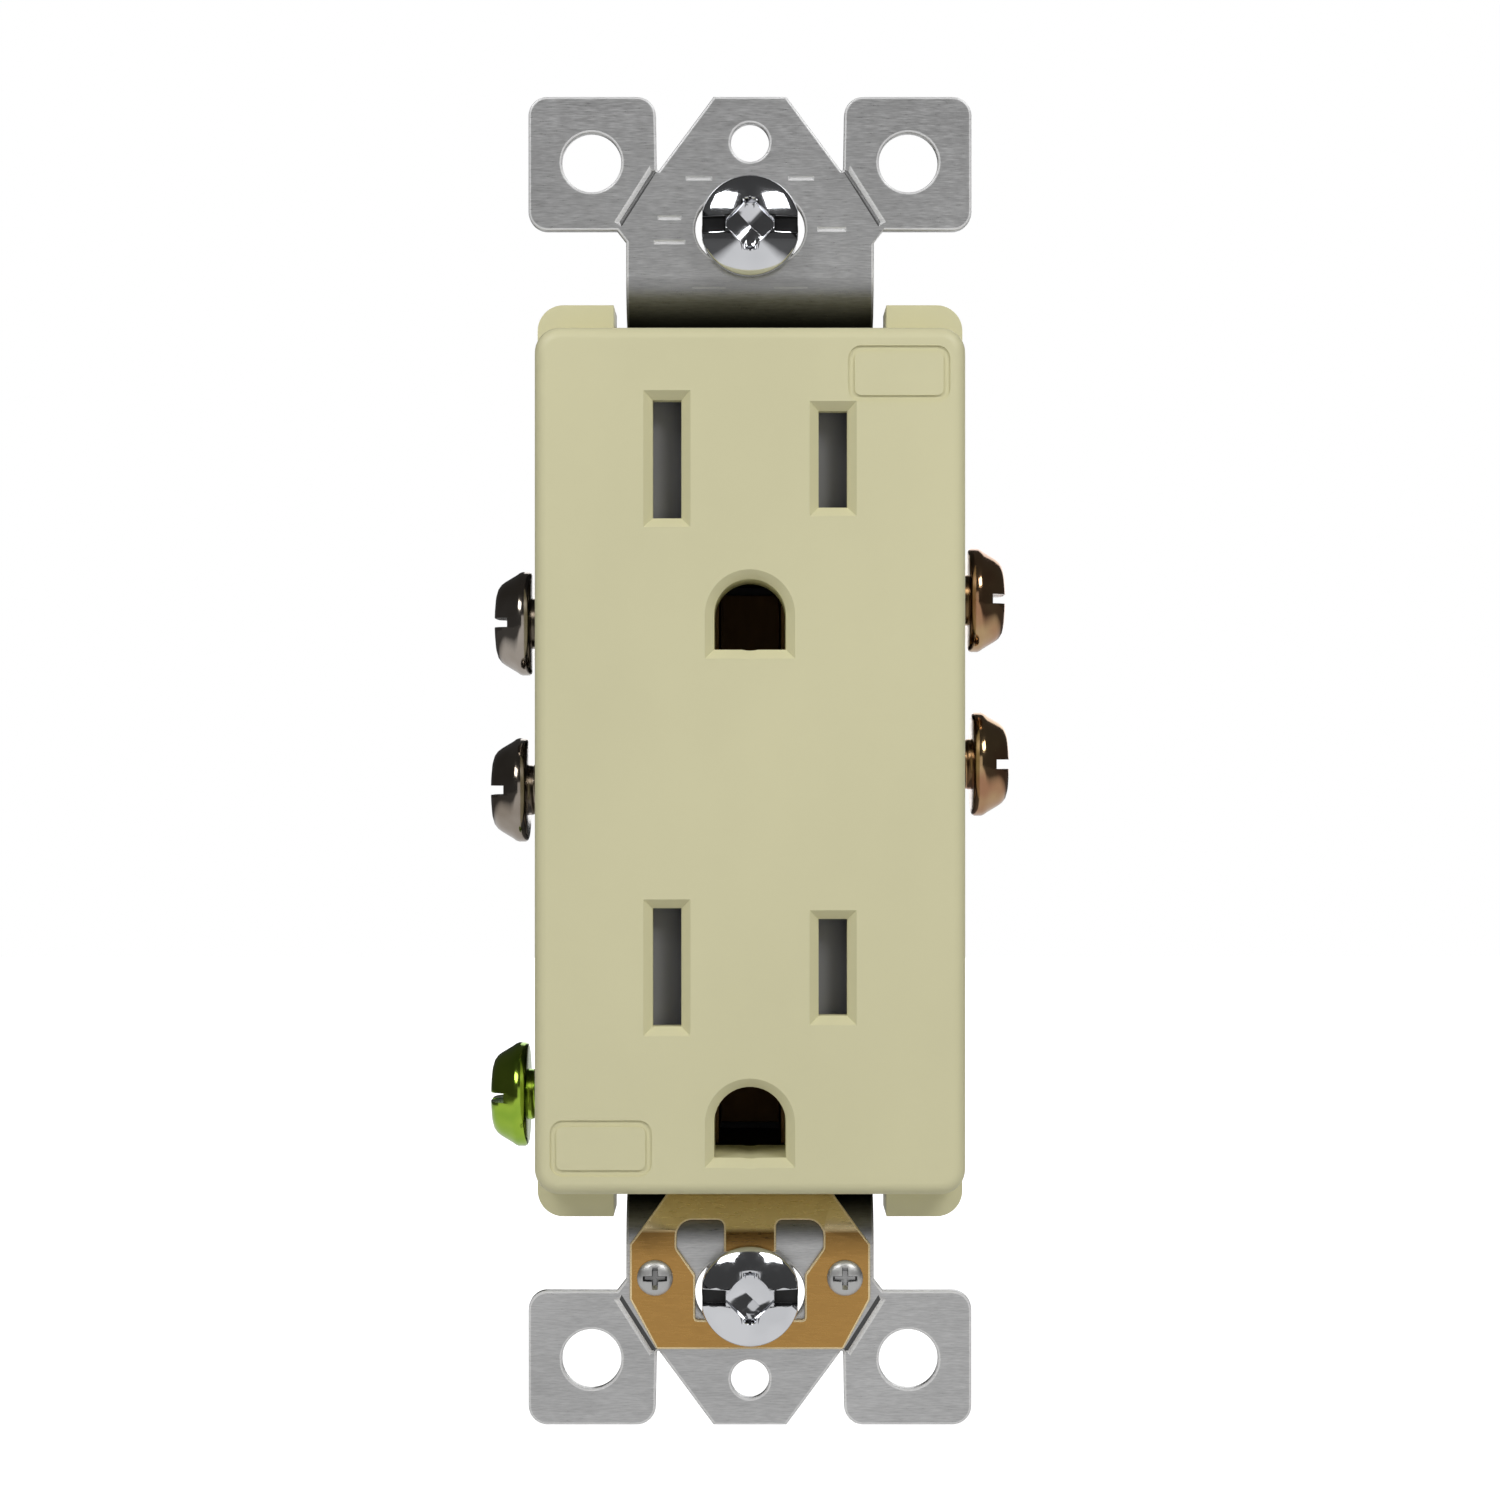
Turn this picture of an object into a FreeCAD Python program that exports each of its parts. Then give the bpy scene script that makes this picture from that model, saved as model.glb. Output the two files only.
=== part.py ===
"""Duplex wall outlet, decorator style: a parametric assembly of separate pieces.

The frame is +X right, +Z up, with the face towards -Y.  The origin lies on the wall plane,
which is the back of the strap's ears, halfway between the two box screws.
"""
import FreeCAD, Part
import math
import os
import Sketcher

# Driving dimensions in millimetres: alias, value, meaning.
DIMENSIONS = [
    ("face_wide", 33.0, "cover face across"),
    ("face_tall", 66.4, "cover face up and down"),
    ("face_front", 7.6, "cover face in front of the wall plane"),
    ("face_round", 1.9, "cover outline corner radius"),
    ("face_edge", 1.0, "cover front edge radius"),
    ("slab_back", 3.1, "back of the cover's raised face, in front of the wall plane"),
    ("skin", 2.2, "thickness of the cover's front"),
    ("side_wall", 1.6, "thickness of the cover's sides"),
    ("wing_reach", 2.2, "corner wings beyond the face, up and down"),
    ("wing_wide", 5.9, "corner wings across"),
    ("wing_round", 2.0, "corner wing outer radius"),
    ("wing_step", 0.35, "base's wings narrower than the cover's"),
    ("parting", 3.5, "joint between cover and base, behind the wall plane"),
    ("body_back", 20.6, "back of the base, behind the wall plane"),
    ("back_wall", 2.4, "thickness of the base's back"),
    ("core_half", 13.3, "half width of the base between the terminals"),
    ("shelf_front", 14.2, "front of the base's full width back shelf"),
    ("slot_pitch", 12.7, "between the two blade slots"),
    ("outlet_pitch", 38.9, "between the two outlets"),
    ("slot_row", 3.65, "mean height of the two rows of blade slots"),
    ("slot_wide", 2.2, "blade slots across"),
    ("neutral_tall", 9.05, "neutral blade slot up and down"),
    ("hot_tall", 7.4, "line blade slot up and down"),
    ("bevel", 0.7, "bevel around the face openings"),
    ("ground_drop", 11.9, "ground hole centre below its row of slots"),
    ("ground_radius", 2.75, "ground hole arc"),
    ("ground_wall", 0.9, "wall of the ground hole sleeve"),
    ("ground_short", 0.07, "ground hole foot short of a full radius"),
    ("sleeve_back", 1.5, "back of the ground hole sleeve"),
    ("strap_long", 104.0, "strap overall length"),
    ("ear_span", 34.7, "strap overall width across the ears"),
    ("strap_thick", 1.1, "strap sheet thickness"),
    ("strap_bend", 3.5, "inside radius of the strap's bends"),
    ("neck_half", 9.7, "half width of the strap's neck"),
    ("spine_half", 7.0, "half width of the strap behind the base"),
    ("ear_foot", 41.5, "height of the ears' lower edges"),
    ("ear_inner", 7.4, "inner edge of each ear"),
    ("ear_round", 1.5, "ear corner radius"),
    ("neck_chamfer", 0.9, "chamfer where the neck meets the ears' lower edges"),
    ("notch_foot", 46.2, "bottom of the notch beside each ear"),
    ("tongue_half", 2.85, "half width of the middle tongue's end"),
    ("plate_pitch", 96.84, "between the two wall plate screw holes"),
    ("plate_hole", 1.5, "wall plate screw hole radius"),
    ("box_pitch", 83.34, "between the two box screws"),
    ("slot_half", 4.3, "half length of the box screw slot"),
    ("slot_radius", 2.6, "end radius of the box screw slot"),
    ("ear_hole_wide", 24.8, "between the ear holes across"),
    ("ear_hole_tall", 93.7, "between the ear holes up and down"),
    ("ear_hole", 2.32, "ear hole radius"),
    ("body_gap", 0.2, "gap between strap and moulded body"),
    ("back_gap", 0.1, "gap between base and the strap behind it"),
    ("clip_thick", 0.5, "grounding clip sheet thickness"),
    ("clip_reach", 4.33, "grounding clip below the box screw"),
    ("clip_foot_half", 7.3, "half width of the clip's foot"),
    ("clip_half", 9.4, "half width of the clip"),
    ("clip_low", 3.9, "start of the clip's full width above its foot"),
    ("clip_high", 8.2, "end of the clip's full width above its foot"),
    ("clip_leg_half", 6.5, "half width of the clip's leg"),
    ("clip_leg_low", 12.0, "start of the clip's leg above its foot"),
    ("window_half", 4.27, "half width of the clip's window beside the screw"),
    ("window_low", 2.03, "foot of the clip's window below the screw"),
    ("lobe_outer", 5.73, "outer edge of the window's lobes"),
    ("lobe_inner", 2.04, "inner edge of the window's lobes"),
    ("lobe_low", 3.57, "foot of the lobes' full width above the screw"),
    ("lobe_high", 5.72, "top of the lobes above the screw"),
    ("lobe_round", 1.2, "outer corner radius of the lobes"),
    ("lobe_turn", 0.5, "inner corner radius of the lobes"),
    ("clip_shank", 0.85, "clip rivet shank radius"),
    ("clip_rivet_head", 1.4, "clip rivet head radius"),
    ("clip_rivet_tall", 0.55, "clip rivet head height"),
    ("clip_tail", 1.3, "clip rivet tail radius"),
    ("clip_tail_tall", 0.45, "clip rivet tail height"),
    ("clip_rivet_x", 7.42, "clip rivets from the middle"),
    ("clip_rivet_z", 40.4, "clip rivets below the middle"),
    ("clip_back", 5.0, "end of the clip's leg behind the wall plane"),
    ("neck_radius", 1.45, "box screw neck radius"),
    ("thread_radius", 1.75, "box screw thread radius"),
    ("box_long", 25.4, "box screw length under the head"),
    ("box_head", 3.9, "box screw head radius"),
    ("box_head_tall", 2.2, "box screw head height"),
    ("box_rim", 0.7, "box screw head rim height"),
    ("retainer_radius", 3.8, "retainer washer radius"),
    ("retainer_thick", 0.8, "retainer washer thickness"),
    ("box_crown", 1.5, "box screw head crown inside its rim"),
    ("box_tip", 0.8, "box screw tip length"),
    ("recess_wide", 1.2, "screwdriver recess width"),
    ("recess_half", 2.55, "half length of the box screw's short recess"),
    ("recess_deep", 1.3, "box screw slot depth"),
    ("shutter_gap", 0.2, "play in front of and behind a shutter"),
    ("shutter_travel", 3.2, "travel of a shutter"),
    ("shutter_half", 5.2, "half height of a shutter"),
    ("shutter_thick", 2.8, "thickness of a shutter"),
    ("ramp_deep", 2.1, "depth of a shutter's ramps"),
    ("window", 2.8, "shutter window across"),
    ("rib", 0.8, "guide rib thickness"),
    ("tray_thick", 1.1, "shutter tray thickness"),
    ("spring_radius", 1.1, "shutter spring radius"),
    ("blade_gap", 1.4, "between the leaves of a blade contact"),
    ("leaf", 0.6, "contact leaf thickness"),
    ("leaf_half", 3.2, "half height of a blade contact"),
    ("contact_front", 0.6, "front of the blade contacts"),
    ("contact_back", 13.0, "front of the blade contacts' floors"),
    ("bus_thick", 0.8, "bus strip thickness"),
    ("bus_inner", 9.6, "inner face of the bus strips"),
    ("pin_gap", 4.9, "between the leaves of a ground contact"),
    ("pin_front", 2.0, "front of the ground contacts"),
    ("pin_half", 2.6, "half height of a ground contact"),
    ("fit", 0.1, "clearance of assembled pieces"),
    ("screw_depth", 9.0, "terminal screw axes behind the wall plane"),
    ("head_radius", 4.2, "terminal screw head radius"),
    ("head_tall", 3.0, "terminal screw head height"),
    ("head_rim", 1.0, "terminal screw head rim height"),
    ("head_step", 0.7, "taper of the terminal screw head's side"),
    ("head_crown", 1.3, "terminal screw head top inside its rim"),
    ("head_slot", 0.76, "terminal screw slot width"),
    ("head_slot_deep", 1.16, "terminal screw slot depth"),
    ("cross_wide", 1.0, "terminal screw cross recess width"),
    ("cross_half", 2.1, "half length of the terminal screw's cross recess"),
    ("cross_deep", 1.8, "terminal screw cross recess depth"),
    ("shank_radius", 2.05, "terminal screw thread radius"),
    ("shank_long", 5.0, "terminal screw length under the head"),
    ("shank_gap", 0.08, "radial clearance around a terminal screw"),
    ("pad_half", 4.5, "half height of a terminal pad"),
    ("pad_deep", 4.2, "half depth of a terminal pad"),
    ("strip_front", 5.0, "front of the bus strips"),
    ("web_back", 10.0, "back of the webs to the terminal pads"),
    ("web_rise", 3.5, "webs above their terminal screw"),
    ("web_half", 0.6, "half height of a web"),
    ("fin_half", 1.6, "half depth of a break-off fin"),
    ("fin_hole", 0.8, "hole radius in a break-off fin"),
    ("tab_half", 1.4, "half height of the ground tab"),
    ("clamp_half", 4.0, "half height of a clamp plate"),
    ("clamp_thick", 1.0, "clamp plate thickness"),
    ("clamp_out", 17.0, "outer face of the clamp plates, as delivered"),
    ("head_out", 17.65, "head seat of the upper terminal screws, as delivered"),
    ("head_out_low", 17.95, "head seat of the other terminal screws, as delivered"),
    ("hot_high", 13.0, "upper line terminal height"),
    ("hot_low", -0.3, "lower line terminal height"),
    ("neutral_high", 11.1, "upper neutral terminal height"),
    ("neutral_low", -2.4, "lower neutral terminal height"),
    ("green_high", -27.1, "ground terminal height"),
    ("wire_hole", 1.0, "push-in wire hole radius"),
    ("wire_spread", 3.0, "wire holes above and below their screw"),
    ("corner_x", 13.55, "assembly screws from the middle"),
    ("corner_z", 33.4, "assembly screws above and below the middle"),
    ("corner_radius", 0.9, "assembly screw shank radius"),
    ("corner_head", 1.6, "assembly screw head radius"),
    ("corner_seat", 10.0, "assembly screw head seat behind the wall plane"),
    ("corner_tip", 1.5, "assembly screw tip in front of the wall plane"),
    ("corner_head_tall", 1.3, "assembly screw head height"),
    ("corner_recess", 0.8, "assembly screw recess depth"),
    ("corner_arm", 0.9, "assembly screw recess half length"),
    ("corner_arm_half", 0.25, "assembly screw recess half width"),
    ("spine_rivet_high", 4.0, "upper back rivet height"),
    ("spine_rivet_low", -8.0, "lower back rivet height"),
    ("spine_rivet", 1.2, "back rivet shank radius"),
    ("spine_head", 2.2, "back rivet head radius"),
    ("spine_head_tall", 0.7, "back rivet head height"),
]


class Size:
    """A length that keeps its spreadsheet formula beside its value."""

    def __init__(self, formula, value):
        self.formula = formula
        self.value = value

    def joined(self, sign, first, second, value):
        return Size("({} {} {})".format(first.formula, sign, second.formula), value)

    def __add__(self, other):
        other = as_size(other)
        return self.joined("+", self, other, self.value + other.value)

    def __sub__(self, other):
        other = as_size(other)
        return self.joined("-", self, other, self.value - other.value)

    def __mul__(self, other):
        other = as_size(other)
        return self.joined("*", self, other, self.value * other.value)

    def __truediv__(self, other):
        other = as_size(other)
        return self.joined("/", self, other, self.value / other.value)

    def __neg__(self):
        return as_size(-1.0) * self

    def __rsub__(self, other):
        return as_size(other) - self

    __radd__ = __add__
    __rmul__ = __mul__


def as_size(number):
    """A plain number as a Size."""
    if isinstance(number, Size):
        return number
    return Size(repr(float(number)), float(number))


class Sizes:
    """The spreadsheet's cells by alias."""


doc = FreeCAD.newDocument("wall_outlet")
sheet = doc.addObject("Spreadsheet::Sheet", "Sizes")
S = Sizes()
for row, (alias, value, meaning) in enumerate(DIMENSIONS, start=1):
    sheet.set("A{}".format(row), meaning)
    sheet.set("B{}".format(row), str(value))
    sheet.setAlias("B{}".format(row), alias)
doc.recompute()
for alias, value, meaning in DIMENSIONS:
    setattr(S, alias, Size("Sizes." + alias, float(sheet.get(alias))))

AXIS_TURN = {
    "x": FreeCAD.Rotation(FreeCAD.Vector(0, 1, 0), 90),
    "y": FreeCAD.Rotation(FreeCAD.Vector(1, 0, 0), -90),
    "z": FreeCAD.Rotation(),
}
NODES = []


# ---------------------------------------------------------------- building helpers

def bind(target, size_of):
    """Tie each named property of an object to its formula."""
    for prop, size in size_of.items():
        target.setExpression(prop, as_size(size).formula)


def place(target, x, y, z):
    """Tie an object's base point to three formulas."""
    bind(target, {".Placement.Base.x": x, ".Placement.Base.y": y, ".Placement.Base.z": z})


def block(name, x, y, z):
    """A box between three pairs of planes."""
    box = doc.addObject("Part::Box", name)
    (x0, x1), (y0, y1), (z0, z1) = x, y, z
    bind(box, {"Length": as_size(x1) - x0, "Width": as_size(y1) - y0, "Height": as_size(z1) - z0})
    place(box, x0, y0, z0)
    return box


def both(half):
    """A pair of planes the same distance either side of the middle."""
    return -as_size(half), as_size(half)


def about(centre, half):
    """A pair of planes the same distance either side of a centre."""
    return as_size(centre) - half, as_size(centre) + half


def along(axis, start, centre):
    """The base point of a round piece that starts at a plane of its axis."""
    first, second = centre
    return {"x": (start, first, second), "y": (first, start, second), "z": (first, second, start)}[axis]


def rod(name, axis, span, centre, radius):
    """A cylinder along an axis between two planes."""
    cylinder = doc.addObject("Part::Cylinder", name)
    start, end = span
    bind(cylinder, {"Radius": radius, "Height": as_size(end) - start})
    cylinder.Placement.Rotation = AXIS_TURN[axis]
    place(cylinder, *along(axis, start, centre))
    return cylinder


def taper(name, axis, span, centre, first_radius, last_radius):
    """A cone frustum along an axis between two planes."""
    cone = doc.addObject("Part::Cone", name)
    start, end = span
    bind(cone, {"Radius1": first_radius, "Radius2": last_radius, "Height": as_size(end) - start})
    cone.Placement.Rotation = AXIS_TURN[axis]
    place(cone, *along(axis, start, centre))
    return cone


def hopper(name, y, x_front, z_front, x_back, z_back):
    """A mitred frustum that narrows from its front plane to its back plane."""
    wedge = doc.addObject("Part::Wedge", name)
    bind(wedge, {"Ymin": y[0], "Ymax": y[1],
                 "Xmin": x_front[0], "Xmax": x_front[1], "Zmin": z_front[0], "Zmax": z_front[1],
                 "X2min": x_back[0], "X2max": x_back[1], "Z2min": z_back[0], "Z2max": z_back[1]})
    return wedge


def fuse(name, pieces):
    """One solid from several that touch or overlap."""
    union = doc.addObject("Part::MultiFuse", name)
    union.Shapes = pieces
    return union


def cut(name, base, tools):
    """A base with one or more tools taken away."""
    result = doc.addObject("Part::Cut", name)
    result.Base = base
    result.Tool = tools[0] if len(tools) == 1 else fuse(name + "Tools", tools)
    return result


def common(name, pieces):
    """What several solids share."""
    result = doc.addObject("Part::MultiCommon", name)
    result.Shapes = pieces
    return result


def mirrored(name, source, normal):
    """A mirror image through the origin."""
    image = doc.addObject("Part::Mirroring", name)
    image.Source = source
    image.Normal = normal
    return image


def sketch_outline(body, plane_role, offset, outline):
    """A closed outline of straight runs whose corners are tied to formulas."""
    sketch = body.newObject("Sketcher::SketchObject", body.Name + "Outline")
    plane = next(item for item in body.Origin.OriginFeatures if item.Role == plane_role)
    sketch.AttachmentSupport = [(plane, "")]
    sketch.MapMode = "FlatFace"
    bind(sketch, {".AttachmentOffset.Base.z": offset})
    corners = [(as_size(a), as_size(b)) for a, b in outline]
    points = [FreeCAD.Vector(a.value, b.value, 0) for a, b in corners]
    count = len(points)
    for i in range(count):
        sketch.addGeometry(Part.LineSegment(points[i], points[(i + 1) % count]), False)
    for i in range(count):
        sketch.addConstraint(Sketcher.Constraint("Coincident", i, 2, (i + 1) % count, 1))
    for i, corner in enumerate(corners):
        for kind, size in zip(("DistanceX", "DistanceY"), corner):
            number = sketch.addConstraint(Sketcher.Constraint(kind, -1, 1, i, 1, size.value))
            label = "{}{}".format(kind, i)
            sketch.renameConstraint(number, label)
            bind(sketch, {"Constraints." + label: size})
    return sketch


def padded(name, plane_role, offset, depth, outline):
    """A body padded from an outline."""
    body = doc.addObject("PartDesign::Body", name)
    sketch = sketch_outline(body, plane_role, offset, outline)
    pad = body.newObject("PartDesign::Pad", name + "Pad")
    pad.Profile = sketch
    bind(pad, {"Length": depth})
    return body


def plate(name, y, outline):
    """A body with an XZ outline between two planes across Y."""
    return padded(name, "XZ_Plane", -as_size(y[1]), as_size(y[1]) - y[0], outline)


def bar(name, x, outline):
    """A body with a YZ outline between two planes across X."""
    return padded(name, "YZ_Plane", x[0], as_size(x[1]) - x[0], outline)


def rounded(body, radius, chosen):
    """Round the edges of a body that a test picks."""
    doc.recompute()
    base = body.Tip
    names = ["Edge{}".format(i) for i, edge in enumerate(base.Shape.Edges, start=1) if chosen(edge)]
    fillet = body.newObject("PartDesign::Fillet", "{}Round{}".format(body.Name, len(body.Group)))
    fillet.Base = (base, names)
    bind(fillet, {"Radius": radius})
    return body


def runs_along(edge, axis):
    """Whether a straight edge runs along an axis."""
    ends = edge.Vertexes
    if len(ends) != 2 or edge.Curve.TypeId != "Part::GeomLine":
        return False
    step = ends[1].Point - ends[0].Point
    return abs(abs(getattr(step, axis)) - step.Length) < 1e-6


def upright_at(corners):
    """A test for the edges along Y that pass through outline corners on either side."""
    targets = [(as_size(x).value, as_size(z).value) for x, z in corners]

    def chosen(edge):
        point = edge.Vertexes[0].Point
        return runs_along(edge, "y") and any(
            abs(abs(point.x) - x) < 1e-6 and abs(point.z - z) < 1e-6 for x, z in targets)

    return chosen


def symmetric(right_side):
    """A closed outline from its right side, listed upwards or downwards."""
    return right_side + [(-as_size(x), z) for x, z in reversed(right_side)]


def node(name, shape):
    """Name a finished piece."""
    shape.Label = name
    NODES.append(shape)
    return shape


# ---------------------------------------------------------------- shared places

ROWS = {"upper": S.slot_row + S.outlet_pitch / 2, "lower": S.slot_row - S.outlet_pitch / 2}
HALF_FACE = S.face_wide / 2
HALF_TALL = S.face_tall / 2
BLADE_X = S.slot_pitch / 2
SKIN_BACK = S.skin - S.face_front
SHUTTER_FRONT = SKIN_BACK + S.shutter_gap
SHUTTER_BACK = SHUTTER_FRONT + S.shutter_thick
TRAY_FRONT = SHUTTER_BACK + S.shutter_gap
ROOM_X = HALF_FACE - S.side_wall
ROOM_Z = HALF_TALL - S.side_wall
LEG_INNER = HALF_TALL + S.body_gap
BEND_Z = LEG_INNER + S.strap_thick + S.strap_bend
BACK_PLATE = S.body_back + S.back_gap
PIN_HALF = S.pin_gap / 2 + S.leaf
WELL_HALF = PIN_HALF + 0.6
CAVITY_X = BLADE_X - S.blade_gap / 2 - S.leaf - 0.6
BUS_OUTER = S.bus_inner + S.bus_thick
PAD_INNER = S.core_half + S.fit
PAD_OUTER = PAD_INNER + S.bus_thick
SPINE_BACK = S.body_back - S.back_wall - S.fit
SPINE_FRONT = SPINE_BACK - S.bus_thick
HEAD_SEAT = -(S.strap_thick + S.clip_thick + 0.15)
# Terminal screws: side of the body, height and head seat.
TERMINALS = {
    "line_upper": (1, S.hot_high, S.head_out),
    "line_lower": (1, S.hot_low, S.head_out_low),
    "neutral_upper": (-1, S.neutral_high, S.head_out),
    "neutral_lower": (-1, S.neutral_low, S.head_out_low),
    "ground": (-1, S.green_high, S.head_out_low),
}


def side_span(side, inner, outer):
    """A pair of X planes on one side of the body, in rising order."""
    if side > 0:
        return as_size(inner), as_size(outer)
    return -as_size(outer), -as_size(inner)


def in_order(side, inner, outer):
    """An inner and an outer radius in the order that their planes rise along X."""
    return (inner, outer) if side > 0 else (outer, inner)


def ground_hole_z(row):
    """Height of a ground hole's arc centre."""
    return ROWS[row] - S.ground_drop


# ---------------------------------------------------------------- moulded cover

def ground_opening(row, grow, y):
    """The D shaped ground hole, grown by a margin, between two planes."""
    z = ground_hole_z(row)
    radius = S.ground_radius + grow
    name = "GroundOpening" + row
    arch = rod(name + "Arch", "y", y, (0, z), radius)
    foot = block(name + "Foot", both(radius), y, (z - radius + S.ground_short, z))
    return fuse(name + "Fuse", [arch, foot])


def ground_bevel(row):
    """The bevel of a ground hole at the face."""
    z = ground_hole_z(row)
    front = -S.face_front
    span = (front, front + S.bevel)
    wide = S.ground_radius + S.bevel
    name = "GroundBevel" + row
    arch = taper(name + "Arch", "y", span, (0, z), wide, S.ground_radius)
    foot = hopper(name + "Foot", span, both(wide), (z - wide + S.ground_short, z),
                  both(S.ground_radius), (z - S.ground_radius + S.ground_short, z))
    return fuse(name + "Fuse", [arch, foot])


def blade_opening(row, side):
    """One blade slot through the face with its mitred bevel."""
    tall = S.hot_tall if side > 0 else S.neutral_tall
    name = "BladeSlot{}{}".format(row, "Line" if side > 0 else "Neutral")
    x = BLADE_X * side
    z = ROWS[row]
    front = -S.face_front
    through = block(name + "Through", about(x, S.slot_wide / 2), (front - 1, SKIN_BACK + 1),
                    about(z, tall / 2))
    bevel = hopper(name + "Bevel", (front, front + S.bevel),
                   about(x, S.slot_wide / 2 + S.bevel), about(z, tall / 2 + S.bevel),
                   about(x, S.slot_wide / 2), about(z, tall / 2))
    return fuse(name, [through, bevel])


def corner_wings(name, y, wide):
    """Four corner blocks that carry the assembly screws."""
    wings = []
    for side in (1, -1):
        for end in (1, -1):
            x = side_span(side, HALF_FACE - wide, HALF_FACE)
            z = side_span(end, HALF_TALL - S.side_wall, HALF_TALL + S.wing_reach)
            wing = plate("{}{}{}".format(name, "R" if side > 0 else "L", "T" if end > 0 else "B"), y,
                         [(x[0], z[0]), (x[1], z[0]), (x[1], z[1]), (x[0], z[1])])
            outer_x = side * HALF_FACE.value
            outer_z = end * (HALF_TALL + S.wing_reach).value

            def outer_corner(edge, outer_x=outer_x, outer_z=outer_z):
                point = edge.Vertexes[0].Point
                at_corner = abs(point.x - outer_x) < 1e-6 and abs(point.z - outer_z) < 1e-6
                return runs_along(edge, "y") and at_corner

            wings.append(rounded(wing, S.wing_round, outer_corner))
    return wings


def assembly_holes(name, y, radius):
    """Four round tools on the assembly screw axes."""
    holes = []
    for side in (1, -1):
        for end in (1, -1):
            holes.append(rod("{}{}{}".format(name, "R" if side > 0 else "L", "T" if end > 0 else "B"),
                             "y", y, (S.corner_x * side, S.corner_z * end), radius))
    return holes


def clip_relief(name, y):
    """Room for the grounding clip's leg at the bottom of the moulded body."""
    return block(name, both(S.neck_half - 2.5), y, (-HALF_TALL - 1, S.body_gap - LEG_INNER + S.clip_thick))


def make_cover():
    """The ivory front: face, skirt, corner wings, guide ribs and ground sleeves."""
    outline = symmetric([(HALF_FACE, -HALF_TALL), (HALF_FACE, HALF_TALL)])
    slab = plate("CoverSlab", (-S.face_front, S.parting), outline)
    rounded(slab, S.face_round, lambda edge: runs_along(edge, "y"))
    front = -S.face_front.value

    def at_front(edge):
        return all(abs(vertex.Point.y - front) < 1e-6 for vertex in edge.Vertexes)

    rounded(slab, S.face_edge, at_front)
    room = block("CoverRoom", both(ROOM_X), (SKIN_BACK, S.parting + 1), both(ROOM_Z))
    wings = corner_wings("CoverWing", (-S.slab_back, S.parting), S.wing_wide)
    ribs = []
    for row, z in ROWS.items():
        for end in (1, -1):
            inner = S.shutter_half + S.shutter_gap
            span = about(z + (inner + S.rib / 2) * end, S.rib / 2)
            ribs.append(block("CoverRib{}{}".format(row, "T" if end > 0 else "B"), both(ROOM_X + 0.5),
                              (SKIN_BACK - 0.5, SHUTTER_BACK), span))
    sleeves = [ground_opening_sleeve(row) for row in ROWS]
    solid = fuse("CoverSolid", [cut("CoverShell", slab, [room])] + wings + ribs + sleeves)
    tools = [blade_opening(row, side) for row in ROWS for side in (1, -1)]
    tools += [ground_opening(row, 0, (-S.face_front - 1, S.parting + 1)) for row in ROWS]
    tools += [ground_bevel(row) for row in ROWS]
    tools += assembly_holes("CoverScrewHole", (-S.corner_tip - 0.4, S.parting + 1),
                            S.corner_radius + S.fit / 2)
    tools.append(clip_relief("CoverClipRelief", (0.4, S.parting + 1)))
    node("face_cover", cut("Cover", solid, tools))


def ground_opening_sleeve(row):
    """The wall that leads a ground pin back from its hole."""
    z = ground_hole_z(row)
    radius = S.ground_radius + S.ground_wall
    span = (SKIN_BACK - 0.5, S.sleeve_back)
    arch = rod("Sleeve{}Arch".format(row), "y", span, (0, z), radius)
    foot = block("Sleeve{}Foot".format(row), both(radius), span, (z - radius + S.ground_short, z))
    return fuse("Sleeve{}Fuse".format(row), [arch, foot])


# ---------------------------------------------------------------- moulded base

def terminal_recess(name, side, z):
    """The side pocket that the terminal screws work in."""
    return block(name, side_span(side, S.core_half, HALF_FACE + 1), (S.parting - 1, S.shelf_front), z)


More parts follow.
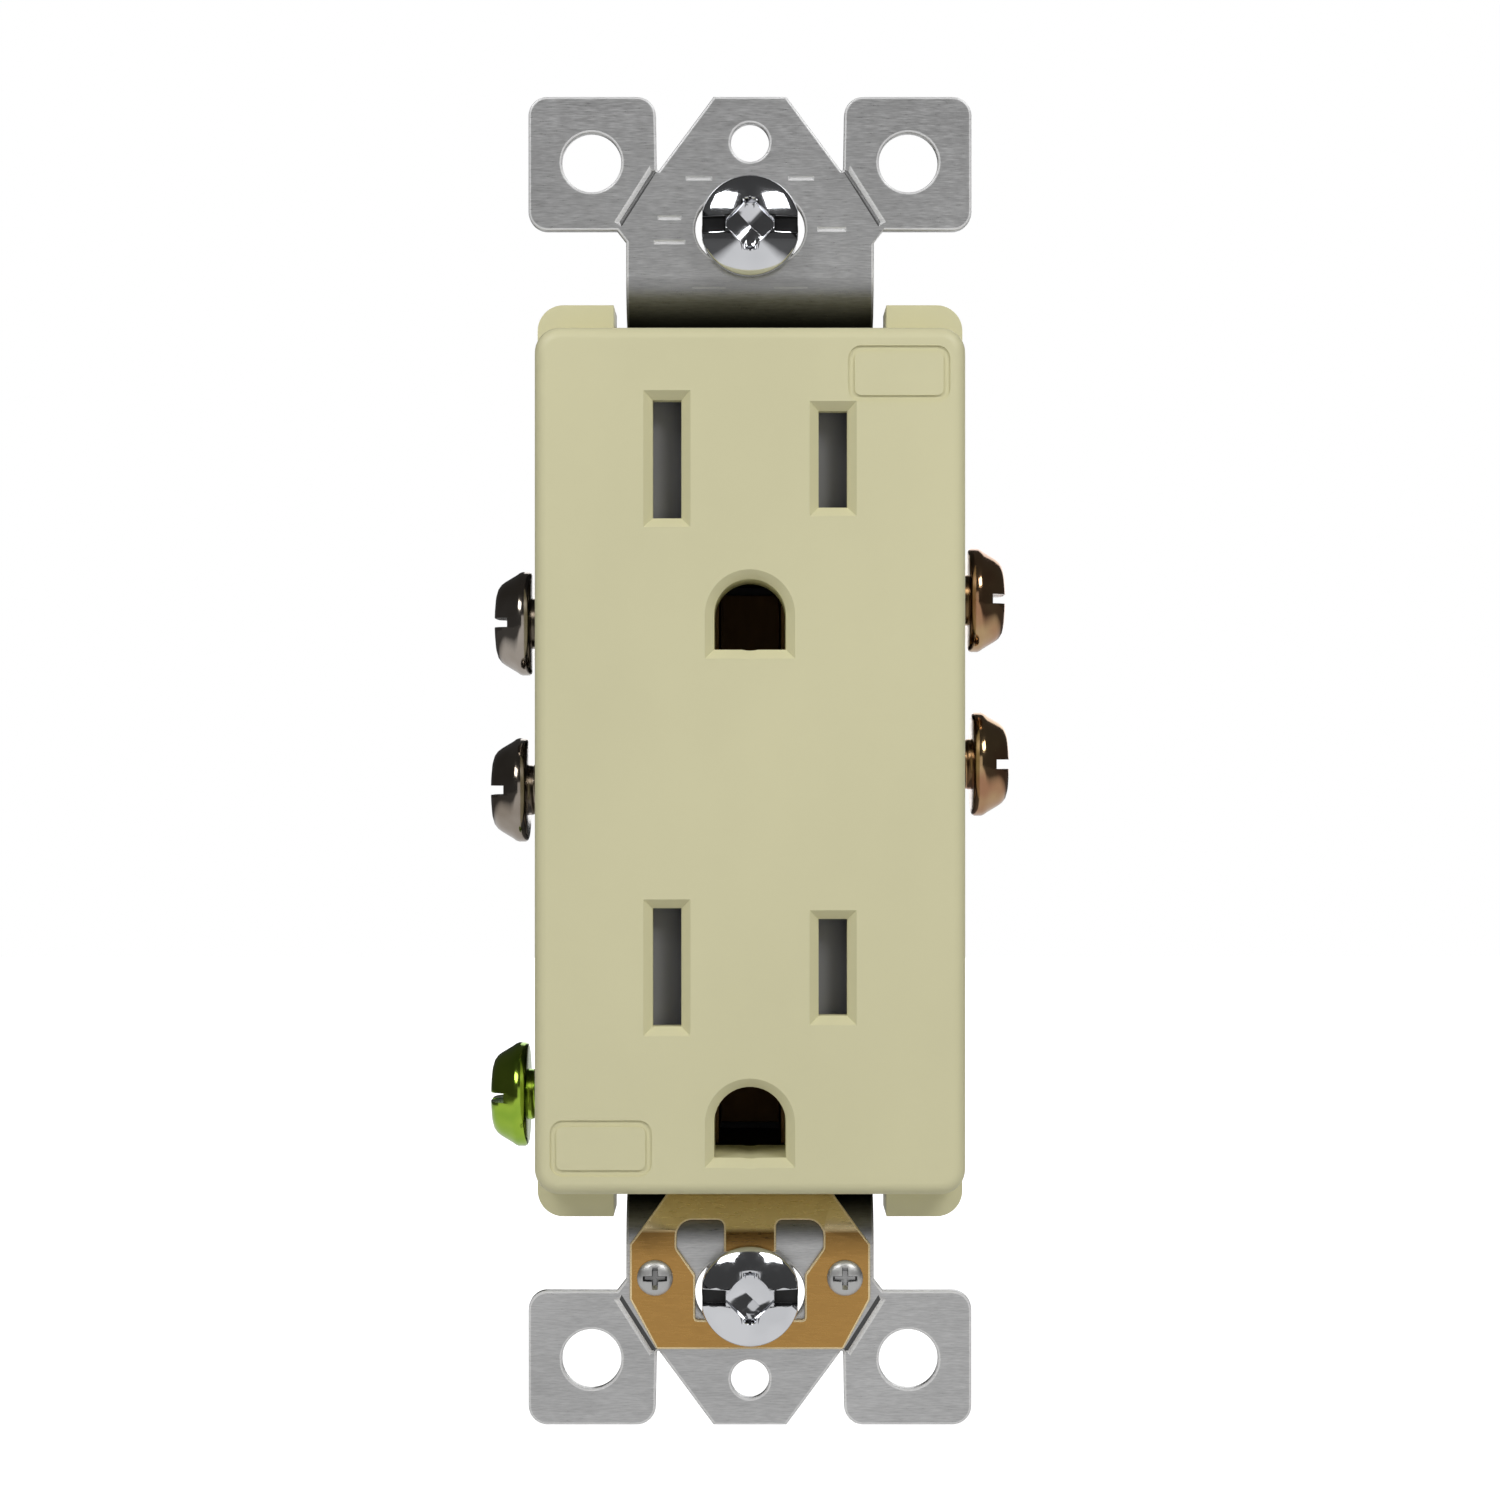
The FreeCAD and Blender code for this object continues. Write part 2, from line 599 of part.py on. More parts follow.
def make_base():
    """The back body: contact rooms, ground well, terminal pockets and wire holes."""
    profile = [(S.parting, -HALF_TALL), (S.body_back - S.strap_bend, -HALF_TALL),
               (S.body_back, S.strap_bend - HALF_TALL), (S.body_back, HALF_TALL - S.strap_bend),
               (S.body_back - S.strap_bend, HALF_TALL), (S.parting, HALF_TALL)]
    hull = bar("BaseHull", both(HALF_FACE), profile)
    wings = corner_wings("BaseWing", (S.parting, S.corner_seat), S.wing_wide - S.wing_step)
    solid = fuse("BaseSolid", [hull] + wings)
    inside_back = S.body_back - S.back_wall
    open_front = S.parting - 1
    margin = S.pad_half + 0.5
    room_y = (open_front, S.contact_back + S.bus_thick + S.fit)
    room_z = (ROWS["lower"] - S.shutter_half - 0.4, ROWS["upper"] + S.shutter_half + 0.4)
    tools = [
        terminal_recess("PocketLine", 1, (S.hot_low - margin, S.hot_high + margin)),
        terminal_recess("PocketNeutral", -1, (S.neutral_low - margin, S.neutral_high + margin)),
        terminal_recess("PocketGround", -1, (S.green_high - margin + 0.5, S.green_high + margin)),
        block("RoomLine", (CAVITY_X, BUS_OUTER + S.fit), room_y, room_z),
        block("RoomNeutral", (-BUS_OUTER - S.fit, -CAVITY_X), room_y, room_z),
        block("Well", both(WELL_HALF), (open_front, inside_back),
              (ground_hole_z("lower") - S.pin_half - 0.6, ground_hole_z("upper") + S.pin_half + 0.6)),
        block("GroundTabSlot", (-PAD_OUTER - S.fit, -WELL_HALF + 0.1), (open_front, inside_back),
              about(S.green_high, S.tab_half + S.fit)),
        clip_relief("BaseClipRelief", (open_front, S.clip_back + 0.6)),
    ]
    for name, (side, z, seat) in TERMINALS.items():
        tools.append(rod("ShankRoom" + name, "x", side_span(side, BUS_OUTER - 0.5, HALF_FACE),
                         (S.screw_depth, z), S.shank_radius + 0.35))
        for end in (1, -1):
            tools.append(rod("WireHole{}{}".format(name, "T" if end > 0 else "B"), "y",
                             (S.shelf_front - 1, S.body_back + 1),
                             ((PAD_OUTER + S.wire_hole + 0.05) * side, z + S.wire_spread * end), S.wire_hole))
        if name != "ground":
            tools.append(block("WebSlot" + name, side_span(side, BUS_OUTER - 0.5, S.core_half + 1),
                               (open_front, S.web_back + S.fit), about(z + S.web_rise, S.web_half + S.fit)))
    tools += assembly_holes("BaseScrewHole", (S.parting - 1, S.corner_seat + 1), S.corner_radius + S.fit / 2)
    tools += assembly_holes("BaseScrewWell", (S.corner_seat, S.body_back + 1), S.corner_head + 0.15)
    for name, z in (("High", S.spine_rivet_high), ("Low", S.spine_rivet_low)):
        tools.append(rod("BaseRivet" + name, "y", (SPINE_BACK - 1, S.body_back + 1), (0, z),
                         S.spine_rivet + S.fit))
    node("back_body", cut("Base", solid, tools))


# ---------------------------------------------------------------- strap

def strap_bend(name, centre_y, centre_z, half, low, y_side):
    """A quarter turn of sheet about a bend axis along X."""
    outer = rod(name + "Outer", "x", both(half), (centre_y, centre_z), S.strap_bend + S.strap_thick)
    inner = rod(name + "Inner", "x", both(half + 1), (centre_y, centre_z), S.strap_bend)
    reach = S.strap_bend + S.strap_thick
    y = (centre_y - reach, centre_y) if y_side < 0 else (centre_y, centre_y + reach)
    z = (centre_z - reach, centre_z) if low else (centre_z, centre_z + reach)
    quarter = block(name + "Quarter", both(half), y, z)
    return cut(name, common(name + "Sector", [outer, quarter]), [inner])


def make_strap():
    """The galvanised strap that wraps around the body, with its ears."""
    half_long = S.strap_long / 2
    half_span = S.ear_span / 2
    right = [(S.neck_half, BEND_Z), (S.neck_half, S.ear_foot - S.neck_chamfer),
             (S.neck_half + 0.7, S.ear_foot), (half_span, S.ear_foot), (half_span, half_long),
             (S.ear_inner, half_long), (S.ear_inner - 0.1, S.notch_foot),
             (S.ear_inner - 0.25, S.notch_foot), (S.tongue_half, half_long)]
    flat = plate("StrapFlat", (-S.strap_thick, 0), symmetric(right))
    rounded(flat, S.ear_round, upright_at([
        (half_span, S.ear_foot), (half_span, half_long), (S.ear_inner, half_long)]))
    span = (-S.strap_thick - 1, 1)
    box_z = S.box_pitch / 2
    slot_run = S.slot_half - S.slot_radius
    tools = [
        rod("StrapSlotRight", "y", span, (slot_run, box_z), S.slot_radius),
        rod("StrapSlotLeft", "y", span, (-slot_run, box_z), S.slot_radius),
        block("StrapSlotMiddle", both(slot_run), span, about(box_z, S.slot_radius)),
        rod("StrapPlateHole", "y", span, (0, S.plate_pitch / 2), S.plate_hole),
    ]
    for side in (1, -1):
        tools.append(rod("StrapEarHole" + ("R" if side > 0 else "L"), "y", span,
                         (S.ear_hole_wide / 2 * side, S.ear_hole_tall / 2), S.ear_hole))
    flat_cut = cut("StrapEars", flat, tools)
    front_bend = strap_bend("StrapFrontBend", S.strap_bend, BEND_Z, S.neck_half, True, -1)
    turn_y = BACK_PLATE - S.strap_bend
    turn_z = LEG_INNER - S.strap_bend
    leg_z = (LEG_INNER, LEG_INNER + S.strap_thick)
    leg = block("StrapLeg", both(S.spine_half), (S.strap_bend + 2, turn_y), leg_z)
    hip = block("StrapHip", both(S.neck_half), (S.strap_bend, S.strap_bend + 3.0), leg_z)
    back_bend = strap_bend("StrapBackBend", turn_y, turn_z, S.spine_half, False, 1)
    top = fuse("StrapTop", [flat_cut, front_bend, leg, hip, back_bend])
    bottom = mirrored("StrapBottom", top, FreeCAD.Vector(0, 0, 1))
    spine = block("StrapSpine", both(S.spine_half), (BACK_PLATE, BACK_PLATE + S.strap_thick), both(turn_z))
    whole = fuse("StrapWhole", [top, bottom, spine])
    holes = []
    for side in (1, -1):
        holes.append(rod("StrapClipHole" + ("R" if side > 0 else "L"), "y", span,
                         (S.clip_rivet_x * side, -S.clip_rivet_z), S.clip_shank + S.fit / 2))
    for name, z in (("High", S.spine_rivet_high), ("Low", S.spine_rivet_low)):
        holes.append(rod("StrapRivetHole" + name, "y", (S.body_back - 1, BACK_PLATE + S.strap_thick + 1),
                         (0, z), S.spine_rivet + S.fit / 2))
    node("strap", cut("Strap", whole, holes))


def folded_corners(radius):
    """Corners of a sheet folded in three steps around the strap's lower bend."""
    reach = radius / math.cos(math.radians(15))
    corners = []
    for degrees in (15, 45, 75):
        turn = math.radians(degrees)
        corners.append((S.strap_bend - reach * math.cos(turn), reach * math.sin(turn) - BEND_Z))
    return corners


def clip_window(front):
    """The clip's window around the box screw, with a lobe to each side above it."""
    screw_z = -(S.box_pitch / 2)
    lobe_top = screw_z + S.lobe_high
    slope_low = screw_z + S.lobe_low - (S.lobe_outer - S.window_half) * 1.44
    window = plate("ClipWindow", (front, 1.5), symmetric([
        (S.window_half, screw_z - S.window_low), (S.window_half, slope_low),
        (S.lobe_outer, screw_z + S.lobe_low),
        (S.lobe_outer, lobe_top), (S.lobe_inner, lobe_top), (S.lobe_inner, screw_z + 1.87)]))
    rounded(window, S.lobe_round, upright_at([(S.lobe_outer, lobe_top)]))
    return rounded(window, S.lobe_turn, upright_at([
        (S.lobe_inner, lobe_top), (S.lobe_outer, screw_z + S.lobe_low), (S.window_half, slope_low)]))


def make_clip():
    """The brass clip that grounds the strap through the lower box screw."""
    flat_front = -(S.strap_thick + S.clip_thick)
    foot = -(S.box_pitch / 2) - S.clip_reach
    outer = folded_corners(S.strap_bend + S.strap_thick + S.clip_thick)
    inner = folded_corners(S.strap_bend + S.strap_thick)
    profile = [(flat_front, foot)] + outer + [(S.clip_back, S.clip_thick - LEG_INNER)]
    profile += [(S.clip_back, -LEG_INNER)] + inner[::-1] + [(-S.strap_thick, foot)]
    sheet_metal = bar("ClipSheet", both(S.neck_half), profile)
    edge = plate("ClipEdge", (flat_front - 2, S.clip_back + 1), symmetric([
        (S.clip_foot_half, foot), (S.clip_half, foot + S.clip_low), (S.clip_half, foot + S.clip_high),
        (S.clip_leg_half, foot + S.clip_leg_low), (S.clip_leg_half, 1.0 - LEG_INNER)]))
    trimmed = common("ClipTrimmed", [sheet_metal, edge])
    rivet_holes = []
    for side in (1, -1):
        rivet_holes.append(rod("ClipHole" + ("R" if side > 0 else "L"), "y", (flat_front - 1, 0),
                               (S.clip_rivet_x * side, -S.clip_rivet_z), S.clip_shank + S.fit / 2))
    node("ground_clip", cut("Clip", trimmed, [clip_window(flat_front - 3)] + rivet_holes))
    for side, name in ((1, "clip_rivet_right"), (-1, "clip_rivet_left")):
        make_clip_rivet(name, (S.clip_rivet_x * side, -S.clip_rivet_z), flat_front)


def make_clip_rivet(name, centre, seat):
    """A rivet that holds the clip to the strap."""
    tag = name.title().replace("_", "")
    head = taper(tag + "Head", "y", (seat - S.clip_rivet_tall, seat), centre,
                 S.clip_rivet_head * 0.75, S.clip_rivet_head)
    shank = rod(tag + "Shank", "y", (seat, 0), centre, S.clip_shank)
    tail = rod(tag + "Tail", "y", (0, S.clip_tail_tall), centre, S.clip_tail)
    node(name, fuse(tag, [head, shank, tail]))


# ---------------------------------------------------------------- shutters

def make_tray():
    """The plate that carries the shutters, on a frame that stands on the base."""
    name = "Tray"
    gap = S.fit
    floor = block(name + "Floor", both(ROOM_X - gap), (TRAY_FRONT, TRAY_FRONT + S.tray_thick),
                  both(ROOM_Z - gap))
    outer = block(name + "Outer", both(ROOM_X - gap), (TRAY_FRONT, S.parting), both(ROOM_Z - gap))
    inner = block(name + "Inner", both(ROOM_X - gap - S.rib), (TRAY_FRONT - 1, S.parting + 1),
                  both(ROOM_Z - gap - S.rib))
    solid = fuse(name + "Solid", [floor, cut(name + "Frame", outer, [inner])])
    tools = []
    for row, z in ROWS.items():
        hole_z = ground_hole_z(row)
        reach = S.ground_radius + S.ground_wall + 0.15
        tools.append(block("{}Sleeve{}".format(name, row), both(reach), (TRAY_FRONT - 1, S.parting),
                           about(hole_z, reach)))
        for side in (1, -1):
            tools.append(block("{}Blade{}{}".format(name, row, "R" if side > 0 else "L"),
                               about(BLADE_X * side, S.window / 2 + 0.2), (TRAY_FRONT - 1, S.parting),
                               about(z, S.neutral_tall / 2 + 0.4)))
    node("shutter_tray", cut(name, solid, tools))


def make_shutter(row):
    """A grey shutter: two ramps that block the slots and a window beside each."""
    z = ROWS[row]
    name = "Shutter" + row.title()
    wide = S.window / 2
    left = -BLADE_X - 2.65
    right = BLADE_X + S.shutter_travel + wide + 1.25
    slab = block(name + "Slab", (left, right), (SHUTTER_FRONT, SHUTTER_BACK), about(z, S.shutter_half))
    tools = []
    for side in (1, -1):
        x = BLADE_X * side
        window_x = x + S.shutter_travel
        tag = "{}{}".format(name, "R" if side > 0 else "L")
        tools.append(block(tag + "Window", about(window_x, wide), (SHUTTER_FRONT - 1, SHUTTER_BACK + 1),
                           about(z, S.neutral_tall / 2 + 0.2)))
        ramp = padded(tag + "Ramp", "XY_Plane", z - S.neutral_tall / 2 - 0.2, S.neutral_tall + 0.4, [
            (x - wide, SHUTTER_FRONT), (window_x - wide, SHUTTER_FRONT + S.ramp_deep),
            (window_x - wide + 0.2, SHUTTER_FRONT + S.ramp_deep), (window_x - wide + 0.2, SHUTTER_FRONT - 1),
            (x - wide, SHUTTER_FRONT - 1)])
        tools.append(ramp)
    node(row + "_shutter", cut(name, slab, tools))
    spring = rod(name + "Spring", "x", (-ROOM_X + 0.05, left - 0.05),
                 ((SHUTTER_FRONT + SHUTTER_BACK) / 2, z), S.spring_radius)
    bore = rod(name + "SpringBore", "x", (-ROOM_X - 1, left + 1),
               ((SHUTTER_FRONT + SHUTTER_BACK) / 2, z), S.spring_radius - 0.45)
    node(row + "_shutter_spring", cut(name + "SpringTube", spring, [bore]))


# ---------------------------------------------------------------- conductors

def blade_contact(name, side, row):
    """Two leaves on a floor that grip one blade."""
    z = ROWS[row]
    inner = BLADE_X - S.blade_gap / 2
    outer = BLADE_X + S.blade_gap / 2
    depth = (S.contact_front, S.contact_back + S.bus_thick)
    return [
        block(name + "InnerLeaf", side_span(side, inner - S.leaf, inner), depth, about(z, S.leaf_half)),
        block(name + "OuterLeaf", side_span(side, outer, outer + S.leaf), depth, about(z, S.leaf_half)),
        block(name + "Floor", side_span(side, inner - S.leaf, BUS_OUTER),
              (S.contact_back, S.contact_back + S.bus_thick), about(z, S.leaf_half)),
    ]


def make_bus(name, side, high, low):
    """A bus: strip, two blade contacts, two terminal pads and the break-off fin."""
    tag = name.title().replace("_", "")
    pieces = [block(tag + "Strip", side_span(side, S.bus_inner, BUS_OUTER),
                    (S.strip_front, S.contact_back + S.bus_thick),
                    (ROWS["lower"] - S.leaf_half, ROWS["upper"] + S.leaf_half))]
    for row in ROWS:
        pieces += blade_contact(tag + row, side, row)
    pad_x = side_span(side, PAD_INNER, PAD_OUTER)
    for place_name, z in (("High", high), ("Low", low)):
        pieces.append(block(tag + "Pad" + place_name, pad_x, about(S.screw_depth, S.pad_deep),
                            about(z, S.pad_half)))
        pieces.append(block(tag + "Web" + place_name, side_span(side, S.bus_inner, PAD_OUTER),
                            (S.strip_front, S.web_back), about(z + S.web_rise, S.web_half)))
    fin_y = S.screw_depth + S.fin_half
    pieces.append(block(tag + "Fin", pad_x, about(fin_y, S.fin_half), (low, high)))
    solid = fuse(tag + "Solid", pieces)
    tools = []
    for place_name, z in (("High", high), ("Low", low)):
        tools.append(rod(tag + "Hole" + place_name, "x", side_span(side, PAD_INNER - 1, PAD_OUTER + 1),
                         (S.screw_depth, z), S.shank_radius + S.shank_gap))
    tools.append(rod(tag + "FinHole", "x", side_span(side, PAD_INNER - 1, PAD_OUTER + 1),
                     (fin_y, (high + low) / 2), S.fin_hole))
    node(name, cut(tag, solid, tools))


def make_ground_bus():
    """The ground bus: spine, two pin contacts and the tab to the ground screw."""
    low = ground_hole_z("lower")
    high = ground_hole_z("upper")
    spine_y = (SPINE_FRONT, SPINE_BACK)
    pieces = [block("GroundSpine", both(PIN_HALF), spine_y, (low - S.pin_half, high + S.pin_half))]
    for row in ROWS:
        z = ground_hole_z(row)
        for side in (1, -1):
            pieces.append(block("PinLeaf{}{}".format(row, "R" if side > 0 else "L"),
                                side_span(side, S.pin_gap / 2, PIN_HALF), (S.pin_front, SPINE_BACK),
                                about(z, S.pin_half)))
    tab_z = about(S.green_high, S.tab_half)
    pieces.append(block("GroundTab", (-PAD_OUTER, 0), spine_y, tab_z))
    pieces.append(block("GroundRiser", (-PAD_OUTER, -PAD_INNER), (S.screw_depth, SPINE_BACK), tab_z))
    pieces.append(block("GroundPad", (-PAD_OUTER, -PAD_INNER), about(S.screw_depth, S.pad_deep),
                        about(S.green_high, S.clamp_half + 0.2)))
    solid = fuse("GroundSolid", pieces)
    tools = [rod("GroundPadHole", "x", (-PAD_OUTER - 1, -PAD_INNER + 1), (S.screw_depth, S.green_high),
                 S.shank_radius + S.shank_gap)]
    for name, z in (("High", S.spine_rivet_high), ("Low", S.spine_rivet_low)):
        tools.append(rod("GroundRivetHole" + name, "y", (SPINE_FRONT - 1, SPINE_BACK + 1), (0, z),
                         S.spine_rivet + S.fit / 2))
    node("ground_bus", cut("GroundBus", solid, tools))


def make_spine_rivets():
    """Two rivets that hold base, ground bus and strap together."""
    for name, z in (("upper", S.spine_rivet_high), ("lower", S.spine_rivet_low)):
        tag = "SpineRivet" + name
        strap_back = BACK_PLATE + S.strap_thick
        inner = rod(tag + "Inner", "y", (SPINE_FRONT - S.spine_head_tall, SPINE_FRONT), (0, z), S.spine_head)
        shank = rod(tag + "Shank", "y", (SPINE_FRONT, strap_back), (0, z), S.spine_rivet)
        outer = taper(tag + "Outer", "y", (strap_back, strap_back + S.spine_head_tall), (0, z),
                      S.spine_head, S.spine_head * 0.7)
        node("back_rivet_" + name, fuse(tag, [inner, shank, outer]))


# ---------------------------------------------------------------- screws

def make_terminal(name, side, z, seat):
    """A terminal screw and the clamp plate that it carries."""
    tag = "Terminal" + name.title().replace("_", "")
    centre = (S.screw_depth, z)
    rim = seat + S.head_rim
    shoulder = seat + S.head_tall * 2 / 3
    top = seat + S.head_tall
    step = S.head_radius - S.head_step
    crown = S.head_radius - S.head_crown
    head = [
        rod(tag + "Rim", "x", side_span(side, seat, rim), centre, S.head_radius),
        taper(tag + "Taper", "x", side_span(side, rim, shoulder), centre,
              *in_order(side, S.head_radius, step)),
        taper(tag + "Dome", "x", side_span(side, shoulder, top), centre, *in_order(side, step, crown)),
        rod(tag + "Shank", "x", side_span(side, seat - S.shank_long, seat), centre, S.shank_radius),
    ]
    solid = fuse(tag + "Solid", head)
    tools = [
        block(tag + "Slot", side_span(side, top - S.head_slot_deep, top + 1),
              about(S.screw_depth, S.head_radius + 1), about(z, S.head_slot / 2)),
        block(tag + "Cross", side_span(side, top - S.cross_deep, top + 1),
              about(S.screw_depth, S.cross_wide / 2), about(z, S.cross_half)),
    ]
    node("terminal_screw_" + name, cut(tag, solid, tools))
    x = side_span(side, S.clamp_out - S.clamp_thick, S.clamp_out)
    sheet_metal = block(tag + "Plate", x, about(S.screw_depth, S.clamp_half - 0.1), about(z, S.clamp_half))
    hole = rod(tag + "PlateHole", "x", side_span(side, S.clamp_out - 3, S.clamp_out + 1), centre,
               S.shank_radius + S.shank_gap)
    node("clamp_plate_" + name, cut(tag + "Clamp", sheet_metal, [hole]))


def make_box_screw(name, end):
    """A box screw with a combination recess and its retainer washer."""
    tag = "Box" + name.title()
    z = S.box_pitch / 2 * end
    centre = (0, z)
    neck_back = S.body_gap + S.retainer_thick + 0.2
    rim_front = HEAD_SEAT - S.box_rim
    front = HEAD_SEAT - S.box_head_tall
    tip = HEAD_SEAT + S.box_long
    solid = fuse(tag + "Solid", [
        rod(tag + "Rim", "y", (rim_front, HEAD_SEAT), centre, S.box_head),
        taper(tag + "Crown", "y", (front, rim_front), centre, S.box_head - S.box_crown, S.box_head),
        rod(tag + "Neck", "y", (HEAD_SEAT, neck_back), centre, S.neck_radius),
        rod(tag + "Thread", "y", (neck_back, tip - S.box_tip), centre, S.thread_radius),
        taper(tag + "Tip", "y", (tip - S.box_tip, tip), centre, S.thread_radius, S.thread_radius * 0.65),
    ])
    deep = (front - 1, front + S.recess_deep)
    tools = [
        block(tag + "SlotCut", both(S.box_head + 1), deep, about(z, S.recess_wide / 2)),
        block(tag + "CrossCut", both(S.recess_wide / 2), deep, about(z, S.recess_half)),
    ]
    node("box_screw_" + name, cut(tag, solid, tools))
    washer = rod(tag + "Washer", "y", (S.body_gap, S.body_gap + S.retainer_thick), centre, S.retainer_radius)
    bore = rod(tag + "WasherBore", "y", (0, S.body_gap + S.retainer_thick + 1), centre, S.neck_radius + 0.06)
    node("screw_retainer_" + name, cut(tag + "Retainer", washer, [bore]))


def make_assembly_screws():
    """Four screws from behind that hold base and cover together."""
    for side in (1, -1):
        for end in (1, -1):
            name = "{}_{}".format("upper" if end > 0 else "lower", "right" if side > 0 else "left")
            tag = "Assembly" + name.title().replace("_", "")
            centre = (S.corner_x * side, S.corner_z * end)
            head_back = S.corner_seat + S.corner_head_tall
            solid = fuse(tag + "Solid", [
                rod(tag + "Head", "y", (S.corner_seat, head_back), centre, S.corner_head),
                rod(tag + "Shank", "y", (-S.corner_tip, S.corner_seat), centre, S.corner_radius),
            ])
            deep = (head_back - S.corner_recess, head_back + 1)
            recess = [
                block(tag + "RecessAcross", about(centre[0], S.corner_arm), deep,
                      about(centre[1], S.corner_arm_half)),
                block(tag + "RecessUpright", about(centre[0], S.corner_arm_half), deep,
                      about(centre[1], S.corner_arm)),
            ]
            node("assembly_screw_" + name, cut(tag, solid, recess))


# ---------------------------------------------------------------- assembly and export

def check_and_export():
    """Refuse failed features and bad solids, then write each piece."""
    doc.recompute()
    for item in doc.Objects:
        if "Invalid" in item.State or "Error" in item.State:
            raise RuntimeError("{} failed: {}".format(item.Name, item.State))
    os.makedirs("parts", exist_ok=True)
    for item in NODES:
        if item.Shape.isNull() or not item.Shape.isValid() or len(item.Shape.Solids) != 1:
            raise RuntimeError("{} has {} solids".format(item.Label, len(item.Shape.Solids)))
    for item in NODES:
        item.Shape.exportStep("parts/{}.step".format(item.Label))


def main():
    """Build every piece of the outlet."""
    make_cover()
    make_base()
    make_strap()
    make_clip()
    make_tray()
    for row in ROWS:
        make_shutter(row)
    make_bus("line_bus", 1, S.hot_high, S.hot_low)
    make_bus("neutral_bus", -1, S.neutral_high, S.neutral_low)
    make_ground_bus()
    make_spine_rivets()
    for name, (side, z, seat) in TERMINALS.items():
        make_terminal(name, side, z, seat)
    make_box_screw("upper", 1)
    make_box_screw("lower", -1)
    make_assembly_screws()
    check_and_export()


main()
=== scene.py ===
"""A duplex wall outlet in decorator style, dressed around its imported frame."""

import logging
import math
from dataclasses import dataclass, field
from enum import Enum

import bpy
from mathutils import Matrix, Vector


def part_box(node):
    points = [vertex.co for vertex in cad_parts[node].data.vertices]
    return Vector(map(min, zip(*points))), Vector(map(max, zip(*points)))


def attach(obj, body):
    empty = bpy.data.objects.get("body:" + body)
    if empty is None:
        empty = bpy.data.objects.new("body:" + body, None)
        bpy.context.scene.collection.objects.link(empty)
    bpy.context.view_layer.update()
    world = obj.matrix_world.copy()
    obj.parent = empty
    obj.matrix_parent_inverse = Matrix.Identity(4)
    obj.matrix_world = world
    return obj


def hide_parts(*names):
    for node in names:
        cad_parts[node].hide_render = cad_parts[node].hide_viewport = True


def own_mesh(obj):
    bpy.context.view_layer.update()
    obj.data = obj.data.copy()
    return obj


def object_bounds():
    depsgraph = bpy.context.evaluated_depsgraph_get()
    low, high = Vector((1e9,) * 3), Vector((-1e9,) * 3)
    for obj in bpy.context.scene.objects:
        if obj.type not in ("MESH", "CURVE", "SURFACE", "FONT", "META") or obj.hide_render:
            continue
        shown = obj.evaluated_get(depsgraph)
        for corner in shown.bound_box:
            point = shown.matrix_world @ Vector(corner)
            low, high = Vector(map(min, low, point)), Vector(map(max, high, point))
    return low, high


MM = 0.001
WELD_MM = 0.002
FLAT_DEGREES = 0.6
LOG = logging.getLogger("wall_outlet")

Triple = tuple[float, float, float]
Pair = tuple[float, float]
Rings = list[Pair]
Piece = bpy.types.Object
Socket = bpy.types.NodeSocket
Feed = Socket | Triple | float

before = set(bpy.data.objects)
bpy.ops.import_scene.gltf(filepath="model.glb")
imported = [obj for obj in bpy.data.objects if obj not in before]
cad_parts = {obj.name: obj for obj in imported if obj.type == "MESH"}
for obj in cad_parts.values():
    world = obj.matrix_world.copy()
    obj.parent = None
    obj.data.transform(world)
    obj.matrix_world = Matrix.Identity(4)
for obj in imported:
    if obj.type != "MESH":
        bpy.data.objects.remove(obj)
CAD_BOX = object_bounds()


class Axis(Enum):
    """The directions that streaks run along."""

    X = "x"
    Y = "y"
    Z = "z"


class Row(Enum):
    """The two outlets of the device."""

    UPPER = "upper"
    LOWER = "lower"


# ---------------------------------------------------------------- material sheets


